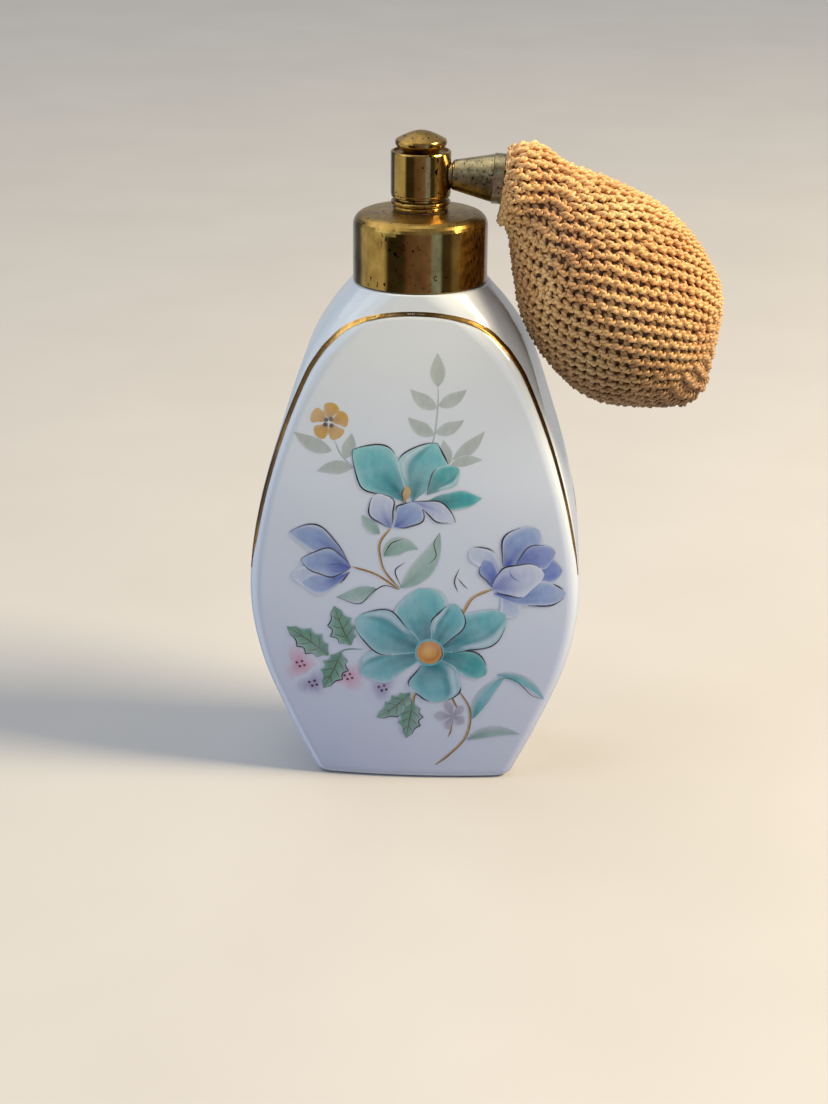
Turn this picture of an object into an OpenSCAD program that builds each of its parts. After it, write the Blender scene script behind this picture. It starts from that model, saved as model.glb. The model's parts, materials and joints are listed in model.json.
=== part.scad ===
/* [Bottle] */
// Height of the porcelain body, from the table to the collar
bottle_h = 98; // [94:0.1:102]
// Greatest width of the body
bottle_w = 63.8; // [62:0.1:68]
// Greatest depth of the body, front to back
bottle_d = 33.6; // [32:0.1:36]
// Thickness of the porcelain wall
wall_t = 3.4; // [2.8:0.1:3.8]
// Rise of the front and back panels at their middle
panel_bulge = 1.3; // [0.6:0.1:1.5]
// Radius of the rounding around the foot
foot_r = 1.6; // [1.2:0.1:2]

/* [Neck and collar] */
// Radius of the bore through the neck
neck_bore_r = 6.5; // [6.4:0.1:6.8]
// Height of the neck above the shoulder
neck_h = 9; // [9:0.1:9.4]
// Outer radius of the collar
collar_r = 12.8; // [12.8:0.1:13.2]
// Thickness of the collar's sheet brass
sheet_t = 0.6; // [0.5:0.05:0.6]
// Rise of the collar for one turn
collar_pitch = 1.5; // [1.3:0.1:1.6]

/* [Spray head] */
// Outer radius of the barrel
barrel_r = 5.7; // [5.5:0.05:5.8]
// Height of the barrel
barrel_h = 8.7; // [8.7:0.1:9.5]
// Greatest radius of the closing knob
knob_r = 4.9; // [4.6:0.1:5.2]
// Height of the knob above its base
knob_h = 4.1; // [3.8:0.1:4.4]
// Droop of the cone that carries the bulb, in degrees
cone_droop = 4; // [3:1:6]
// Radius of the cone's lip
lip_r = 4.75; // [4.7:0.05:5]
// Gap between the dip tube and the bottle's floor
tube_gap = 3; // [2:0.5:6]

/* [Bulb] */
// Greatest radius of the covered bulb
bulb_r = 17.9; // [17:0.1:18.3]
// Thickness of the crocheted cover
cover_t = 0.9; // [0.7:0.1:1.1]
// Thickness of the rubber wall
rubber_t = 1.6; // [1.2:0.1:1.8]
// Direction of the bulb's tail below the horizontal, in degrees
tail_droop = 45; // [44:1:48]
// Radius of the ball in the tail's valve
ball_r = 1; // [0.9:0.05:1.05]

/* [Hidden] */
$fn = 96;

// Clearances: a running fit, a gap between flat faces, and one that clears a thread
run_gap = 0.06;
flat_gap = 0.03;
thread_gap = 0.1;

// Bottle outline: share of the height, then share of half the width or depth
half_width = [[0, 0.594], [0.119, 0.766], [0.261, 0.936], [0.404, 1], [0.578, 0.935],
    [0.751, 0.788], [0.873, 0.662], [0.945, 0.54], [1, 0.415]];
half_depth = [[0, 0.86], [0.119, 0.92], [0.261, 0.97], [0.404, 1], [0.578, 0.98],
    [0.751, 0.91], [0.873, 0.85], [0.945, 0.81], [1, 0.78]];
// Radius of the body's four upright edges, in millimetres, by share of the height
edge_radius = [[0, 2], [0.404, 2.4], [0.751, 3.4], [0.873, 6], [0.945, 9.2], [1, 12.2]];
floor_t = 4;
roof_drop = 6;
roof_inset = 2.4;
cavity_edge_min = 1.6;

// Neck
neck_r = 9.5;
cement_t = 0.25;
ferrule_crest_r = 11.1;
ferrule_root_r = 10.6;
ferrule_foot_r = 11.6;
ferrule_foot_h = 0.7;
z_rim = bottle_h + neck_h;
thread_turns = 4;
thread_z = bottle_h + 1.6;

// Stack above the rim
gasket_t = 1.2;
gasket_r = 9.4;
flange_t = 0.9;
z_flange = z_rim + gasket_t + 2 * flat_gap;
z_flange_top = z_flange + flange_t;
boss_r = 5.9;
boss_h = 3.2;
stem_r = 4;
spigot_r = 3;
tube_r = 1.5;
tube_bore_r = 0.9;
tube_grip = 0.5;
liquid_r = 0.7;

// Collar
z_collar = bottle_h + 0.15;
collar_side_h = z_rim + 1.7 - z_collar;
edge_r = 2.4;
z_dome = z_rim + 4.5;
hole_r = stem_r + run_gap;
dome_end_r = 5.7;
web_t = 0.6;
insert_root_r = ferrule_crest_r + thread_gap + 0.5;

// Ring under the barrel, then the barrel
washer_t = 0.2;
z_bead = z_dome + washer_t + flat_gap;
bead_h = 2.3;
z_barrel = z_bead + bead_h;
z_top = z_barrel + barrel_h;
barrel_t = 0.8;
block_r = barrel_r - barrel_t;
recess = 0.4;
plate_t = 1.3;
z_block = z_barrel + barrel_t;
z_block_top = z_top - recess - plate_t - 0.5;
z_axis = z_barrel + 4.2;
orifice_r = 0.3;
tip_r = 1.2;
chamber_r = 1.9;
chamber_x = 2.9;
socket_r = 2.2;
socket_len = 3.1;
air_r = 0.5;
air_y = 1.3;
jet_r = 0.5;

// Needle and knob
shank_r = 1.9;
shank_h = 1.8;
needle_r = 0.6;
needle_head_r = 0.94;
packing_r = 1.7;
packing_h = 0.8;
z_knob = z_top - recess + 0.1;
knob_base_r = 3.4;

// Cone, measured along its own axis
cone_x = 5.75;
cone_len = 10;
cone_small_r = 2.9;
lip_len = 2.2;
cone_back = 1.4;
cone_wall = 0.6;
nipple_r = 1.55;
barb_r = 1.9;
nipple_bore_r = 0.9;
barbs = 3;

// The bulb's centre line is one cubic curve in the plane y = 0, written as [x, z]
cone_end = [cone_x + cone_len * cos(cone_droop), z_axis - cone_len * sin(cone_droop)];
cover_gap = 0.25;
bulb_start = cone_end + cover_gap * [cos(cone_droop), -sin(cone_droop)];
bulb_end = bulb_start + [36.7, -40.3];
start_reach = 9;
end_reach = 18;
spine = [bulb_start, bulb_start + start_reach * [cos(cone_droop), -sin(cone_droop)],
    bulb_end - end_reach * [cos(tail_droop), -sin(tail_droop)], bulb_end];
spine_len = 58;
// Radius of the covered bulb along that line, as a share of the greatest radius
bulb_shape = [[0, 0.335], [0.08, 0.455], [0.2, 0.465], [0.35, 0.7], [0.5, 0.937], [0.65, 1],
    [0.8, 0.885], [0.92, 0.51], [1, 0.202]];
skin_gap = 0.15;
// The rubber starts in the cone, as a narrow sleeve on the nipple
sleeve = 0.085;
sleeve_r = 2.9;
sleeve_bore_r = 2;
sleeve_end = 0.12;
rubber_end = 0.965;

// Valve in the tail, measured from the tail's end inwards
valve_r = 1.95;
valve_len = 6.4;
valve_flange_r = 3.1;
valve_flange_at = 4.2;
seat_at = 2;
inlet_r = 0.8;
ball_room = 0.3;
cage_t = 0.8;

function span(t, x, i = 0) = (i >= len(t) - 2 || x < t[i + 1][0]) ? i : span(t, x, i + 1);
function slope(t, i) = let (a = max(i - 1, 0), b = min(i + 1, len(t) - 1))
    (t[b][1] - t[a][1]) / (t[b][0] - t[a][0]);
// A smooth curve through a short list of points
function curve(t, x) = let (i = span(t, x), h = t[i + 1][0] - t[i][0], u = (x - t[i][0]) / h)
    t[i][1] * (1 + 2 * u) * pow(1 - u, 2) + slope(t, i) * h * u * pow(1 - u, 2)
    + t[i + 1][1] * u * u * (3 - 2 * u) + slope(t, i + 1) * h * u * u * (u - 1);

// One quarter turn around a corner, then the straight that follows it
function corner(q, w, d, r, n_arc, n_flat) = let (
        sx = (q == 0 || q == 3) ? 1 : -1,
        sy = q < 2 ? 1 : -1,
        c = [sx * (w - r), sy * (d - r)],
        a0 = 90 * q,
        last = c + r * [cos(a0 + 90), sin(a0 + 90)],
        next = (q % 2 == 0) ? [-last[0], last[1]] : [last[0], -last[1]])
    concat([for (k = [0 : n_arc]) c + r * [cos(a0 + 90 * k / n_arc), sin(a0 + 90 * k / n_arc)]],
        [for (k = [1 : n_flat]) last + (next - last) * k / (n_flat + 1)]);

// A rounded rectangle whose long sides bulge by b at their middle
function rounded_ring(w, d, r, b, z, n_arc, n_long, n_short) = let (
        p = concat(corner(0, w, d - b, r, n_arc, n_long), corner(1, w, d - b, r, n_arc, n_short),
            corner(2, w, d - b, r, n_arc, n_long), corner(3, w, d - b, r, n_arc, n_short)))
    [for (v = p) [v[0], v[1] * (1 + b / (d - b) * (1 - pow(v[0] / w, 2))), z]];

function body_w(z) = bottle_w / 2 * curve(half_width, z / bottle_h);
function body_d(z) = bottle_d / 2 * curve(half_depth, z / bottle_h);
function body_edge(z) = curve(edge_radius, z / bottle_h);
function body_bulge(z) = panel_bulge * (1 - pow(z / bottle_h, 4));
function foot_inset(z) = z < foot_r ? foot_r - sqrt(pow(foot_r, 2) - pow(foot_r - z, 2)) : 0;
function body_ring(z) = let (i = foot_inset(z))
    rounded_ring(body_w(z) - i, body_d(z) - i, body_edge(z), body_bulge(z), z, 6, 9, 3);

function cavity_ring(z, z_roof) = let (
        i = wall_t + foot_inset(z - floor_t) + roof_inset * pow(max(0, (z - z_roof + 12) / 12), 2),
        r = max(body_edge(z) - wall_t, cavity_edge_min))
    rounded_ring(body_w(z) - i, body_d(z) - i, r, body_bulge(z), z, 3, 5, 1);

// Triangles between rings of n points: m gaps, turned inside out where flip is true
function ring_faces(m, n, total, flip) = [for (i = [0 : m - 1], k = [0 : n - 1], half = [0, 1])
    let (a = i * n + k, b = i * n + (k + 1) % n,
        c = ((i + 1) % total) * n + (k + 1) % n, d = ((i + 1) % total) * n + k,
        f = half == 0 ? [a, b, c] : [a, c, d])
    flip ? [f[2], f[1], f[0]] : f];

function middle(ring) = [0, 0, ring[0][2]];

// A closed stack of rings that climbs along z, with each end closed by a fan
module loft(rings) {
    n = len(rings[0]);
    m = len(rings);
    low = m * n;
    bottom = [for (k = [0 : n - 1]) [low, k, (k + 1) % n]];
    top = [for (k = [0 : n - 1]) [low + 1, (m - 1) * n + (k + 1) % n, (m - 1) * n + k]];
    polyhedron(points = concat([for (r = rings) each r], [middle(rings[0]), middle(rings[m - 1])]),
        faces = concat(ring_faces(m - 1, n, m, true), bottom, top), convexity = 4);
}

function bezier(t) = pow(1 - t, 3) * spine[0] + 3 * pow(1 - t, 2) * t * spine[1]
    + 3 * (1 - t) * t * t * spine[2] + pow(t, 3) * spine[3];
function bezier_way(t) = pow(1 - t, 2) * (spine[1] - spine[0])
    + 2 * (1 - t) * t * (spine[2] - spine[1]) + t * t * (spine[3] - spine[2]);
function unit(v) = v / norm(v);
function spine_way(t) = unit(bezier_way(max(t, 0)));
function spine_at(t) = t < 0 ? spine[0] + t * spine_len * spine_way(0) : bezier(t);
function spine_ring(t, r, n) = let (c = spine_at(t), u = spine_way(t))
    [for (k = [0 : n - 1]) let (a = 360 * k / n)
        [c[0] - u[1] * r * cos(a), r * sin(a), c[1] + u[0] * r * cos(a)]];

function cover_r(t) = bulb_r * curve(bulb_shape, t);
// The rubber fills the cover, and narrows to its sleeve at the cone
function rubber_r(t) = t < 0 ? sleeve_r : let (u = min(t / sleeve_end, 1))
    sleeve_r + (cover_r(t) - cover_t - skin_gap - sleeve_r) * u * u * (3 - 2 * u);
function rubber_bore_r(t) = t < 0 ? sleeve_bore_r : let (u = min(t / sleeve_end, 1))
    sleeve_bore_r + (rubber_r(t) - rubber_t - sleeve_bore_r) * u;

// A tube with walls, from its outer rings out and its inner rings back
module shell(outer, inner) {
    rings = concat(outer, inner);
    m = len(rings);
    polyhedron(points = [for (r = rings) each r],
        faces = ring_faces(m, len(rings[0]), m, false), convexity = 6);
}

module tube(r_out, r_in, h) {
    difference() {
        cylinder(r = r_out, h = h);
        translate([0, 0, -1]) cylinder(r = r_in, h = h + 2);
    }
}

module along_x(x) {
    translate([x, 0, z_axis]) rotate([0, 90, 0]) children();
}

module along_cone() {
    translate([cone_x, 0, z_axis]) rotate([0, 90 + cone_droop, 0]) children();
}

// From the tail's end into the bulb
module along_tail() {
    translate([bulb_end[0], 0, bulb_end[1]]) rotate([0, tail_droop - 90, 0]) children();
}

module porcelain_bottle() {
    rings = 26;
    foot_steps = 4;
    levels = concat([for (j = [0 : foot_steps]) foot_r * (1 - cos(90 * j / foot_steps))],
        [for (i = [1 : rings]) foot_r + (bottle_h - foot_r) * i / rings]);
    z_roof = bottle_h - roof_drop;
    inner_rings = 15;
    cavity = concat([for (j = [0 : 3]) floor_t + foot_r * (1 - cos(30 * j))],
        [for (i = [1 : inner_rings]) floor_t + foot_r + (z_roof - floor_t - foot_r) * i / inner_rings]);
    color("ghostwhite") difference() {
        union() {
            loft([for (z = levels) body_ring(z)]);
            translate([0, 0, bottle_h - 2]) cylinder(r = neck_r, h = neck_h + 2);
        }
        loft([for (z = cavity) cavity_ring(z, z_roof)]);
        translate([0, 0, z_roof - 1.5]) cylinder(r = neck_bore_r, h = neck_h + roof_drop + 3);
    }
}

module neck_cement() {
    color("beige") translate([0, 0, bottle_h]) tube(neck_r + cement_t, neck_r, neck_h - 1);
}

// Thread ridges as rings, each a small triangle that points away from r_root
module ridges(r_root, r_crest, z) {
    for (i = [0 : thread_turns - 1])
        translate([0, 0, z + i * collar_pitch])
            rotate_extrude() polygon([[r_root, -0.6], [r_crest, -0.1], [r_crest, 0.1], [r_root, 0.6]]);
}

module neck_ferrule() {
    overlap = 0.1;
    color("peru") {
        difference() {
            union() {
                translate([0, 0, bottle_h]) cylinder(r = ferrule_root_r, h = neck_h - 0.6);
                translate([0, 0, bottle_h]) cylinder(r = ferrule_foot_r, h = ferrule_foot_h);
                ridges(ferrule_root_r - overlap, ferrule_crest_r, thread_z);
            }
            translate([0, 0, bottle_h - 1]) cylinder(r = neck_r + cement_t, h = neck_h + 2);
        }
    }
}

module neck_gasket() {
    color("saddlebrown") translate([0, 0, z_rim + flat_gap])
        tube(gasket_r, neck_bore_r + 0.1, gasket_t);
}

module head_stem() {
    color("goldenrod") difference() {
        union() {
            translate([0, 0, z_flange - boss_h]) cylinder(r = boss_r, h = boss_h + 0.1);
            translate([0, 0, z_flange]) cylinder(r = gasket_r, h = flange_t);
            translate([0, 0, z_flange]) cylinder(r = stem_r, h = z_bead - z_flange);
            translate([0, 0, z_flange]) cylinder(r = spigot_r, h = z_block - z_flange);
        }
        translate([0, 0, z_flange - boss_h - 1]) cylinder(r = tube_r, h = boss_h + 1 + tube_grip);
        translate([0, 0, z_flange]) cylinder(r = liquid_r, h = z_block - z_flange + 1);
    }
}

module slip_washer() {
    color("dimgray") translate([0, 0, z_dome + flat_gap]) tube(stem_r + 1.1, stem_r, washer_t);
}

// Two rounded beads, the upper one wider, with a groove under the barrel
module bead_ring() {
    low_r = 5.4;
    high_r = 5.65;
    groove_r = 4.7;
    step = 15;
    low = [for (a = [-90 : step : 90]) [low_r - 0.45 + 0.45 * cos(a), 0.45 + 0.45 * sin(a)]];
    high = [for (a = [-90 : step : 90]) [high_r - 0.42 + 0.42 * cos(a), 1.32 + 0.42 * sin(a)]];
    color("darkgoldenrod") translate([0, 0, z_bead]) rotate_extrude()
        polygon(concat([[spigot_r, 0]], low, high,
            [[groove_r, 1.85], [groove_r, bead_h], [spigot_r, bead_h]]));
}

module barrel() {
    lip = 0.3;
    color("darkgoldenrod") difference() {
        translate([0, 0, z_barrel]) rotate_extrude() polygon([
            [spigot_r, 0], [barrel_r - 0.35, 0], [barrel_r - 0.1, 0.2], [barrel_r - 0.1, 0.5],
            [barrel_r, 0.7], [barrel_r, barrel_h - lip], [barrel_r - 0.12, barrel_h - 0.08],
            [barrel_r - 0.25, barrel_h], [barrel_r - 0.55, barrel_h],
            [barrel_r - 0.6, barrel_h - recess], [shank_r + run_gap, barrel_h - recess],
            [shank_r + run_gap, barrel_h - recess - plate_t],
            [block_r, barrel_h - recess - plate_t], [block_r, barrel_t], [spigot_r, barrel_t]]);
        along_x(-barrel_r - 1) cylinder(r = tip_r, h = barrel_r);
        along_cone() translate([0, 0, -socket_len]) cylinder(r = socket_r, h = barrel_r);
    }
}

module mixing_block() {
    h = z_block_top - z_block;
    color("khaki") difference() {
        translate([0, 0, z_block]) cylinder(r = block_r, h = h);
        translate([0, 0, z_block - 1]) cylinder(r = liquid_r, h = h + 2);
        translate([0, 0, z_block_top - packing_h]) cylinder(r = packing_r, h = packing_h + 1);
        along_x(-barrel_r) cylinder(r = chamber_r, h = barrel_r - chamber_x);
        along_cone() translate([0, 0, -socket_len]) cylinder(r = socket_r, h = barrel_r);
        along_x(-chamber_x - 0.5) cylinder(r = jet_r, h = chamber_x + 0.5);
        for (side = [-1, 1])
            translate([0, side * air_y, 0]) along_x(-chamber_x - 0.5)
                cylinder(r = air_r, h = 2 * chamber_x + 1);
    }
}

// A plug in the barrel's side, drilled to a fine hole and cut flush with the barrel
module nozzle_tip() {
    plug_x = 4.3;
    color("gold") difference() {
        intersection() {
            union() {
                along_x(-barrel_r - 1) cylinder(r = tip_r, h = barrel_r + 1 - plug_x + 0.1);
                along_x(-plug_x) cylinder(r = chamber_r, h = 0.6);
            }
            translate([0, 0, z_axis - chamber_r]) cylinder(r = barrel_r, h = 2 * chamber_r);
        }
        along_x(-barrel_r - 1) cylinder(r = orifice_r, h = barrel_r);
    }
}

module liquid_jet() {
    jet_from = -3.6;
    jet_to = -0.75;
    color("silver") along_x(jet_from) tube(jet_r, jet_r - 0.25, jet_to - jet_from);
}

module dip_tube() {
    z0 = floor_t + tube_gap;
    color("honeydew") translate([0, 0, z0]) tube(tube_r, tube_bore_r, z_flange + tube_grip - z0);
}

// A spun cone with a rounded nose and a plain lip, on a short neck pressed into the barrel
module bulb_coupling() {
    round_r = 0.7;
    nose_at = 0.05;
    wide_r = lip_r - 0.25;
    nose = [for (a = [-90 : 15 : 0]) [cone_small_r - round_r + round_r * cos(a),
        nose_at + round_r + round_r * sin(a)]];
    color("darkgoldenrod") along_cone() rotate_extrude() polygon(concat(
        [[nipple_bore_r, -socket_len], [socket_r, -socket_len], [socket_r, nose_at]], nose,
        [[wide_r, cone_len - lip_len], [lip_r, cone_len - lip_len + 0.15],
            [lip_r, cone_len - 0.15], [lip_r - 0.15, cone_len],
            [lip_r - cone_wall, cone_len], [cone_small_r - 0.3, cone_back],
            [nipple_bore_r, cone_back]]));
}

module bulb_nipple() {
    flange_r = 2.2;
    pitch = 2.1;
    color("silver") along_cone() difference() {
        union() {
            translate([0, 0, cone_back]) cylinder(r = flange_r, h = 0.8);
            translate([0, 0, cone_back]) cylinder(r = nipple_r, h = cone_len - cone_back - 0.2);
            for (i = [0 : barbs - 1])
                translate([0, 0, cone_back + 1.4 + i * pitch])
                    cylinder(r1 = barb_r, r2 = nipple_r - 0.05, h = 1.5);
        }
        cylinder(r = nipple_bore_r, h = cone_len + 1);
    }
}

// Three turns of wire that clamp the sleeve on the nipple
module neck_binding() {
    wire_r = 0.2;
    turns = 3;
    binding_at = 6.6;
    color("silver") along_cone()
        for (i = [0 : turns - 1])
            translate([0, 0, binding_at + i * 2.2 * wire_r])
                rotate_extrude() translate([sleeve_r + wire_r + 0.05, 0]) circle(r = wire_r, $fn = 24);
}

module needle_packing() {
    color("dimgray") translate([0, 0, z_block_top - packing_h])
        tube(packing_r, needle_r + run_gap, packing_h);
}

module shut_off_needle() {
    tip_h = 0.8;
    z_tip = z_axis + 0.9;
    z_head = z_knob - 0.6;
    color("silver") {
        translate([0, 0, z_tip]) cylinder(r1 = 0.15, r2 = needle_r, h = tip_h);
        translate([0, 0, z_tip + tip_h]) cylinder(r = needle_r, h = z_head - z_tip - tip_h + 0.1);
        translate([0, 0, z_head]) cylinder(r = needle_head_r, h = 0.9);
    }
}

// A mushroom finial: a rounded rim, then a low dome that rises to a soft point
module closing_knob() {
    rim_h = 1.8;
    rim_round = 0.9;
    step = 15;
    under = [for (a = [-65 : step : 40]) [knob_r - rim_round + rim_round * cos(a),
        rim_h + rim_round * sin(a)]];
    rim_end = under[len(under) - 1];
    dome = [for (i = [1 : 9]) let (u = i / 10)
        [rim_end[0] * (1 - u), rim_end[1] + (knob_h - rim_end[1]) * (0.12 * u + 0.88 * sin(90 * u))]];
    color("goldenrod") difference() {
        union() {
            translate([0, 0, z_knob]) rotate_extrude()
                polygon(concat([[0, 0], [knob_base_r, 0]], under, dome, [[0, knob_h]]));
            translate([0, 0, z_knob - shank_h]) cylinder(r = shank_r, h = shank_h + 0.1);
        }
        translate([0, 0, z_knob - shank_h - 1]) cylinder(r = needle_head_r + run_gap, h = shank_h + 1.35);
    }
}

function collar_profile(r, top, round_to) = let (
        z_edge = collar_side_h,
        edge = [for (a = [0 : 15 : 75]) [r - round_to + round_to * cos(a), z_edge + round_to * sin(a)]],
        last = edge[len(edge) - 1],
        dome = [for (i = [1 : 6]) let (u = i / 6)
            [last[0] + (dome_end_r - last[0]) * u, last[1] + (top - last[1]) * sin(90 * u)]])
    concat(edge, dome);

module collar_shell() {
    top = z_dome - z_collar;
    outside = collar_profile(collar_r, top, edge_r);
    inside = collar_profile(collar_r - sheet_t, top - sheet_t, edge_r - sheet_t);
    color("darkgoldenrod") translate([0, 0, z_collar]) rotate_extrude()
        polygon(concat([[collar_r - 0.15, 0], [collar_r, 0.15]], outside, [[hole_r, top]],
            [[hole_r, top - sheet_t]], [for (i = [len(inside) - 1 : -1 : 0]) inside[i]],
            [[collar_r - sheet_t, 0]]));
}

module collar_insert() {
    r = collar_r - sheet_t;
    z_in = z_flange_top + flat_gap;
    foot = z_collar + 1;
    bevel = 1.3;
    overlap = 0.1;
    color("peru") {
        rotate_extrude() polygon([[insert_root_r, foot], [r, foot], [r, z_in + web_t - bevel],
            [r - bevel, z_in + web_t], [hole_r, z_in + web_t], [hole_r, z_in],
            [insert_root_r, z_in]]);
        ridges(insert_root_r + overlap, ferrule_crest_r + thread_gap, thread_z + collar_pitch / 2);
    }
}

module rubber_bulb() {
    sides = 24;
    steps = 22;
    ends = [-sleeve, -sleeve / 2];
    line = concat(ends, [for (i = [0 : steps]) rubber_end * pow(i / steps, 1.15)]);
    n = len(line);
    color("rosybrown") shell([for (t = line) spine_ring(t, rubber_r(t), sides)],
        [for (i = [n - 1 : -1 : 0]) spine_ring(line[i], rubber_bore_r(line[i]), sides)]);
}

module net_cover() {
    sides = 32;
    steps = 26;
    line = [for (i = [0 : steps]) i / steps];
    color("tan") shell([for (t = line) spine_ring(t, cover_r(t), sides)],
        [for (i = [steps : -1 : 0]) spine_ring(line[i], cover_r(line[i]) - cover_t, sides)]);
}

module intake_valve() {
    color("goldenrod") along_tail() difference() {
        union() {
            cylinder(r = valve_r, h = valve_len);
            translate([0, 0, valve_flange_at]) cylinder(r = valve_flange_r, h = 0.8);
        }
        translate([0, 0, -1]) cylinder(r = inlet_r, h = seat_at + 2);
        translate([0, 0, seat_at]) cylinder(r = ball_r + ball_room, h = valve_len);
    }
}

module valve_cage() {
    color("silver") along_tail() translate([0, 0, valve_len - cage_t])
        tube(ball_r + ball_room, 0.5, cage_t);
}

module intake_ball() {
    lift = sqrt(pow(ball_r, 2) - pow(inlet_r, 2)) + 0.05;
    color("lightgray") along_tail() translate([0, 0, seat_at + lift]) sphere(r = ball_r);
}

porcelain_bottle();
neck_cement();
neck_ferrule();
neck_gasket();
head_stem();
slip_washer();
bead_ring();
barrel();
mixing_block();
nozzle_tip();
liquid_jet();
dip_tube();
bulb_coupling();
bulb_nipple();
neck_binding();
needle_packing();
shut_off_needle();
closing_knob();
collar_shell();
collar_insert();
rubber_bulb();
net_cover();
intake_valve();
valve_cage();
intake_ball();
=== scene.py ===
import json
import math

import bpy
import mathutils
import numpy as np
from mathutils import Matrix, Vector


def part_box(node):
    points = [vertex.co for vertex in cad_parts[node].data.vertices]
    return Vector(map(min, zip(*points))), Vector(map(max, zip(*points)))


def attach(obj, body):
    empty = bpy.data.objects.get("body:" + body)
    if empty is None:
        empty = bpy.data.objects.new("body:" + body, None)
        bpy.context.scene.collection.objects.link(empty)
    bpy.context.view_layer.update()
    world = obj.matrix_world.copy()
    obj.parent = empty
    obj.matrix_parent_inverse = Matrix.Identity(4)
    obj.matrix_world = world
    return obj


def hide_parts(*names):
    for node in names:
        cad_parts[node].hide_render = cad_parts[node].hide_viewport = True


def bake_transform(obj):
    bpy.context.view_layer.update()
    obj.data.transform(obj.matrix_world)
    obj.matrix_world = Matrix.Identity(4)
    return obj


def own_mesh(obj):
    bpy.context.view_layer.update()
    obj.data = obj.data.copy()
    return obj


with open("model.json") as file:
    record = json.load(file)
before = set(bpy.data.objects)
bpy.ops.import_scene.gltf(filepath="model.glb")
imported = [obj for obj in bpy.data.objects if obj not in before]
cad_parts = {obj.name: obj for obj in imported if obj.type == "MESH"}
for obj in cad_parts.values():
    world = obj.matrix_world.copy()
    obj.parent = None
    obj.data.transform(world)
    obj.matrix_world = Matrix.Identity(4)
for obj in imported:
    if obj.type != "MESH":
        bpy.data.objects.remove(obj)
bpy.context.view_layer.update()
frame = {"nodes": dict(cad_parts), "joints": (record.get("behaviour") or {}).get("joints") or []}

# Lengths are millimetres until a mesh, a light or a camera is made. +Z is up and -Y is the front.
MM = 0.001
nodes = frame["nodes"]


def box_mm(node):
    """Lowest and highest corner of a CAD node, in millimetres."""
    low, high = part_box(node)
    return np.array(low) / MM, np.array(high) / MM


# ---------------------------------------------------------------- sizes

BOTTLE_LOW, BOTTLE_HIGH = box_mm("porcelain_bottle")
BOTTLE_W = BOTTLE_HIGH[0] - BOTTLE_LOW[0]
BOTTLE_D = BOTTLE_HIGH[1] - BOTTLE_LOW[1]
RIM_Z = BOTTLE_HIGH[2]
BOTTLE_H = box_mm("neck_cement")[0][2]
# The body's outline, as shares of its height, half width and half depth
HALF_WIDTH = [(0, 0.594), (0.119, 0.766), (0.261, 0.936), (0.404, 1), (0.578, 0.935),
              (0.751, 0.788), (0.873, 0.662), (0.945, 0.54), (1, 0.415)]
HALF_DEPTH = [(0, 0.86), (0.119, 0.92), (0.261, 0.97), (0.404, 1), (0.578, 0.98),
              (0.751, 0.91), (0.873, 0.85), (0.945, 0.81), (1, 0.78)]
EDGE_RADIUS = [(0, 2), (0.404, 2.4), (0.751, 3.4), (0.873, 6), (0.945, 9.2), (1, 12.2)]
PANEL_BULGE = 1.3
FOOT_R = 1.6
WALL = 3.4
# Above this height the body is meshed more finely
SHOULDER_Z = 84
FLOOR_Z = 4.0
ROOF_Z = BOTTLE_H - 6
NECK_R = 9.5
NECK_BORE_R = 6.5

# The gilt line, as half widths by height, from the body's widest point up to the arch's shoulder
ARCH_SIDE = [(42.6, 31.7), (48.6, 30.9), (59.6, 28.6), (71, 25.2), (82.4, 20.6), (87.2, 17.6),
             (89.6, 15.4)]
ARCH_TOP = 94.6
PANEL_RISE = 0.5
PANEL_STEP = 1.5
# The panel's step fades in between these heights
PANEL_FADE = (43.6, 61.6)
# The arch's corner: how far its side runs on, and how far its top runs out
CORNER_REACH = 0.66
CORNER_PULL = 0.62

# The bulb: its centre line in the plane y = 0, as (x, z), and its radius along that line
BULB_HINGE = next(j for j in frame["joints"] if j["name"] == "bulb_lift")["pos_m"]
CONE_DROOP = math.radians(4)
TAIL_DROOP = math.radians(45)
BULB_START = np.array([BULB_HINGE[0], BULB_HINGE[2]]) / MM
BULB_END = BULB_START + np.array([36.7, -40.3])
START_WAY = np.array([math.cos(CONE_DROOP), -math.sin(CONE_DROOP)])
TAIL_WAY = np.array([math.cos(TAIL_DROOP), -math.sin(TAIL_DROOP)])
START_REACH = 9
END_REACH = 18
SPINE = [BULB_START, BULB_START + START_REACH * START_WAY, BULB_END - END_REACH * TAIL_WAY, BULB_END]
SPINE_LENGTH = 58
BULB_R = 17.9
BULB_SHAPE = [(0, 0.335), (0.08, 0.455), (0.2, 0.465), (0.35, 0.7), (0.5, 0.937), (0.65, 1),
              (0.8, 0.885), (0.92, 0.51), (1, 0.202)]
COVER_T = 0.9
SKIN_GAP = 0.15
RUBBER_T = 1.6
SLEEVE_FROM = -0.085
SLEEVE_R = 2.9
SLEEVE_BORE_R = 2.0
SLEEVE_END = 0.12
RUBBER_END = 0.965
# Where the neck's piece ends, and where the belly's piece begins
SEAM = 0.30
BELLY = 0.52
TAIL_FROM = 0.72

# Crochet: a round's height and a stitch's width, at the neck and on the belly
ROUND_STEP = (1.4, 1.56)
STITCH_STEP = (2.6, 3.1)
PLY_R = 0.385
PLY_OFFSET = 0.32
# The valve's body is 1.95 mm in radius, and the tail's yarn is kept this far from its axis
VALVE_CLEAR = 2.1
# How deep a stitch's middle lies in the cover, and how far along the bulb the cover may reach
YARN_DEPTH = 0.72
COVER_RANGE = (0.008, 1.01)
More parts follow.
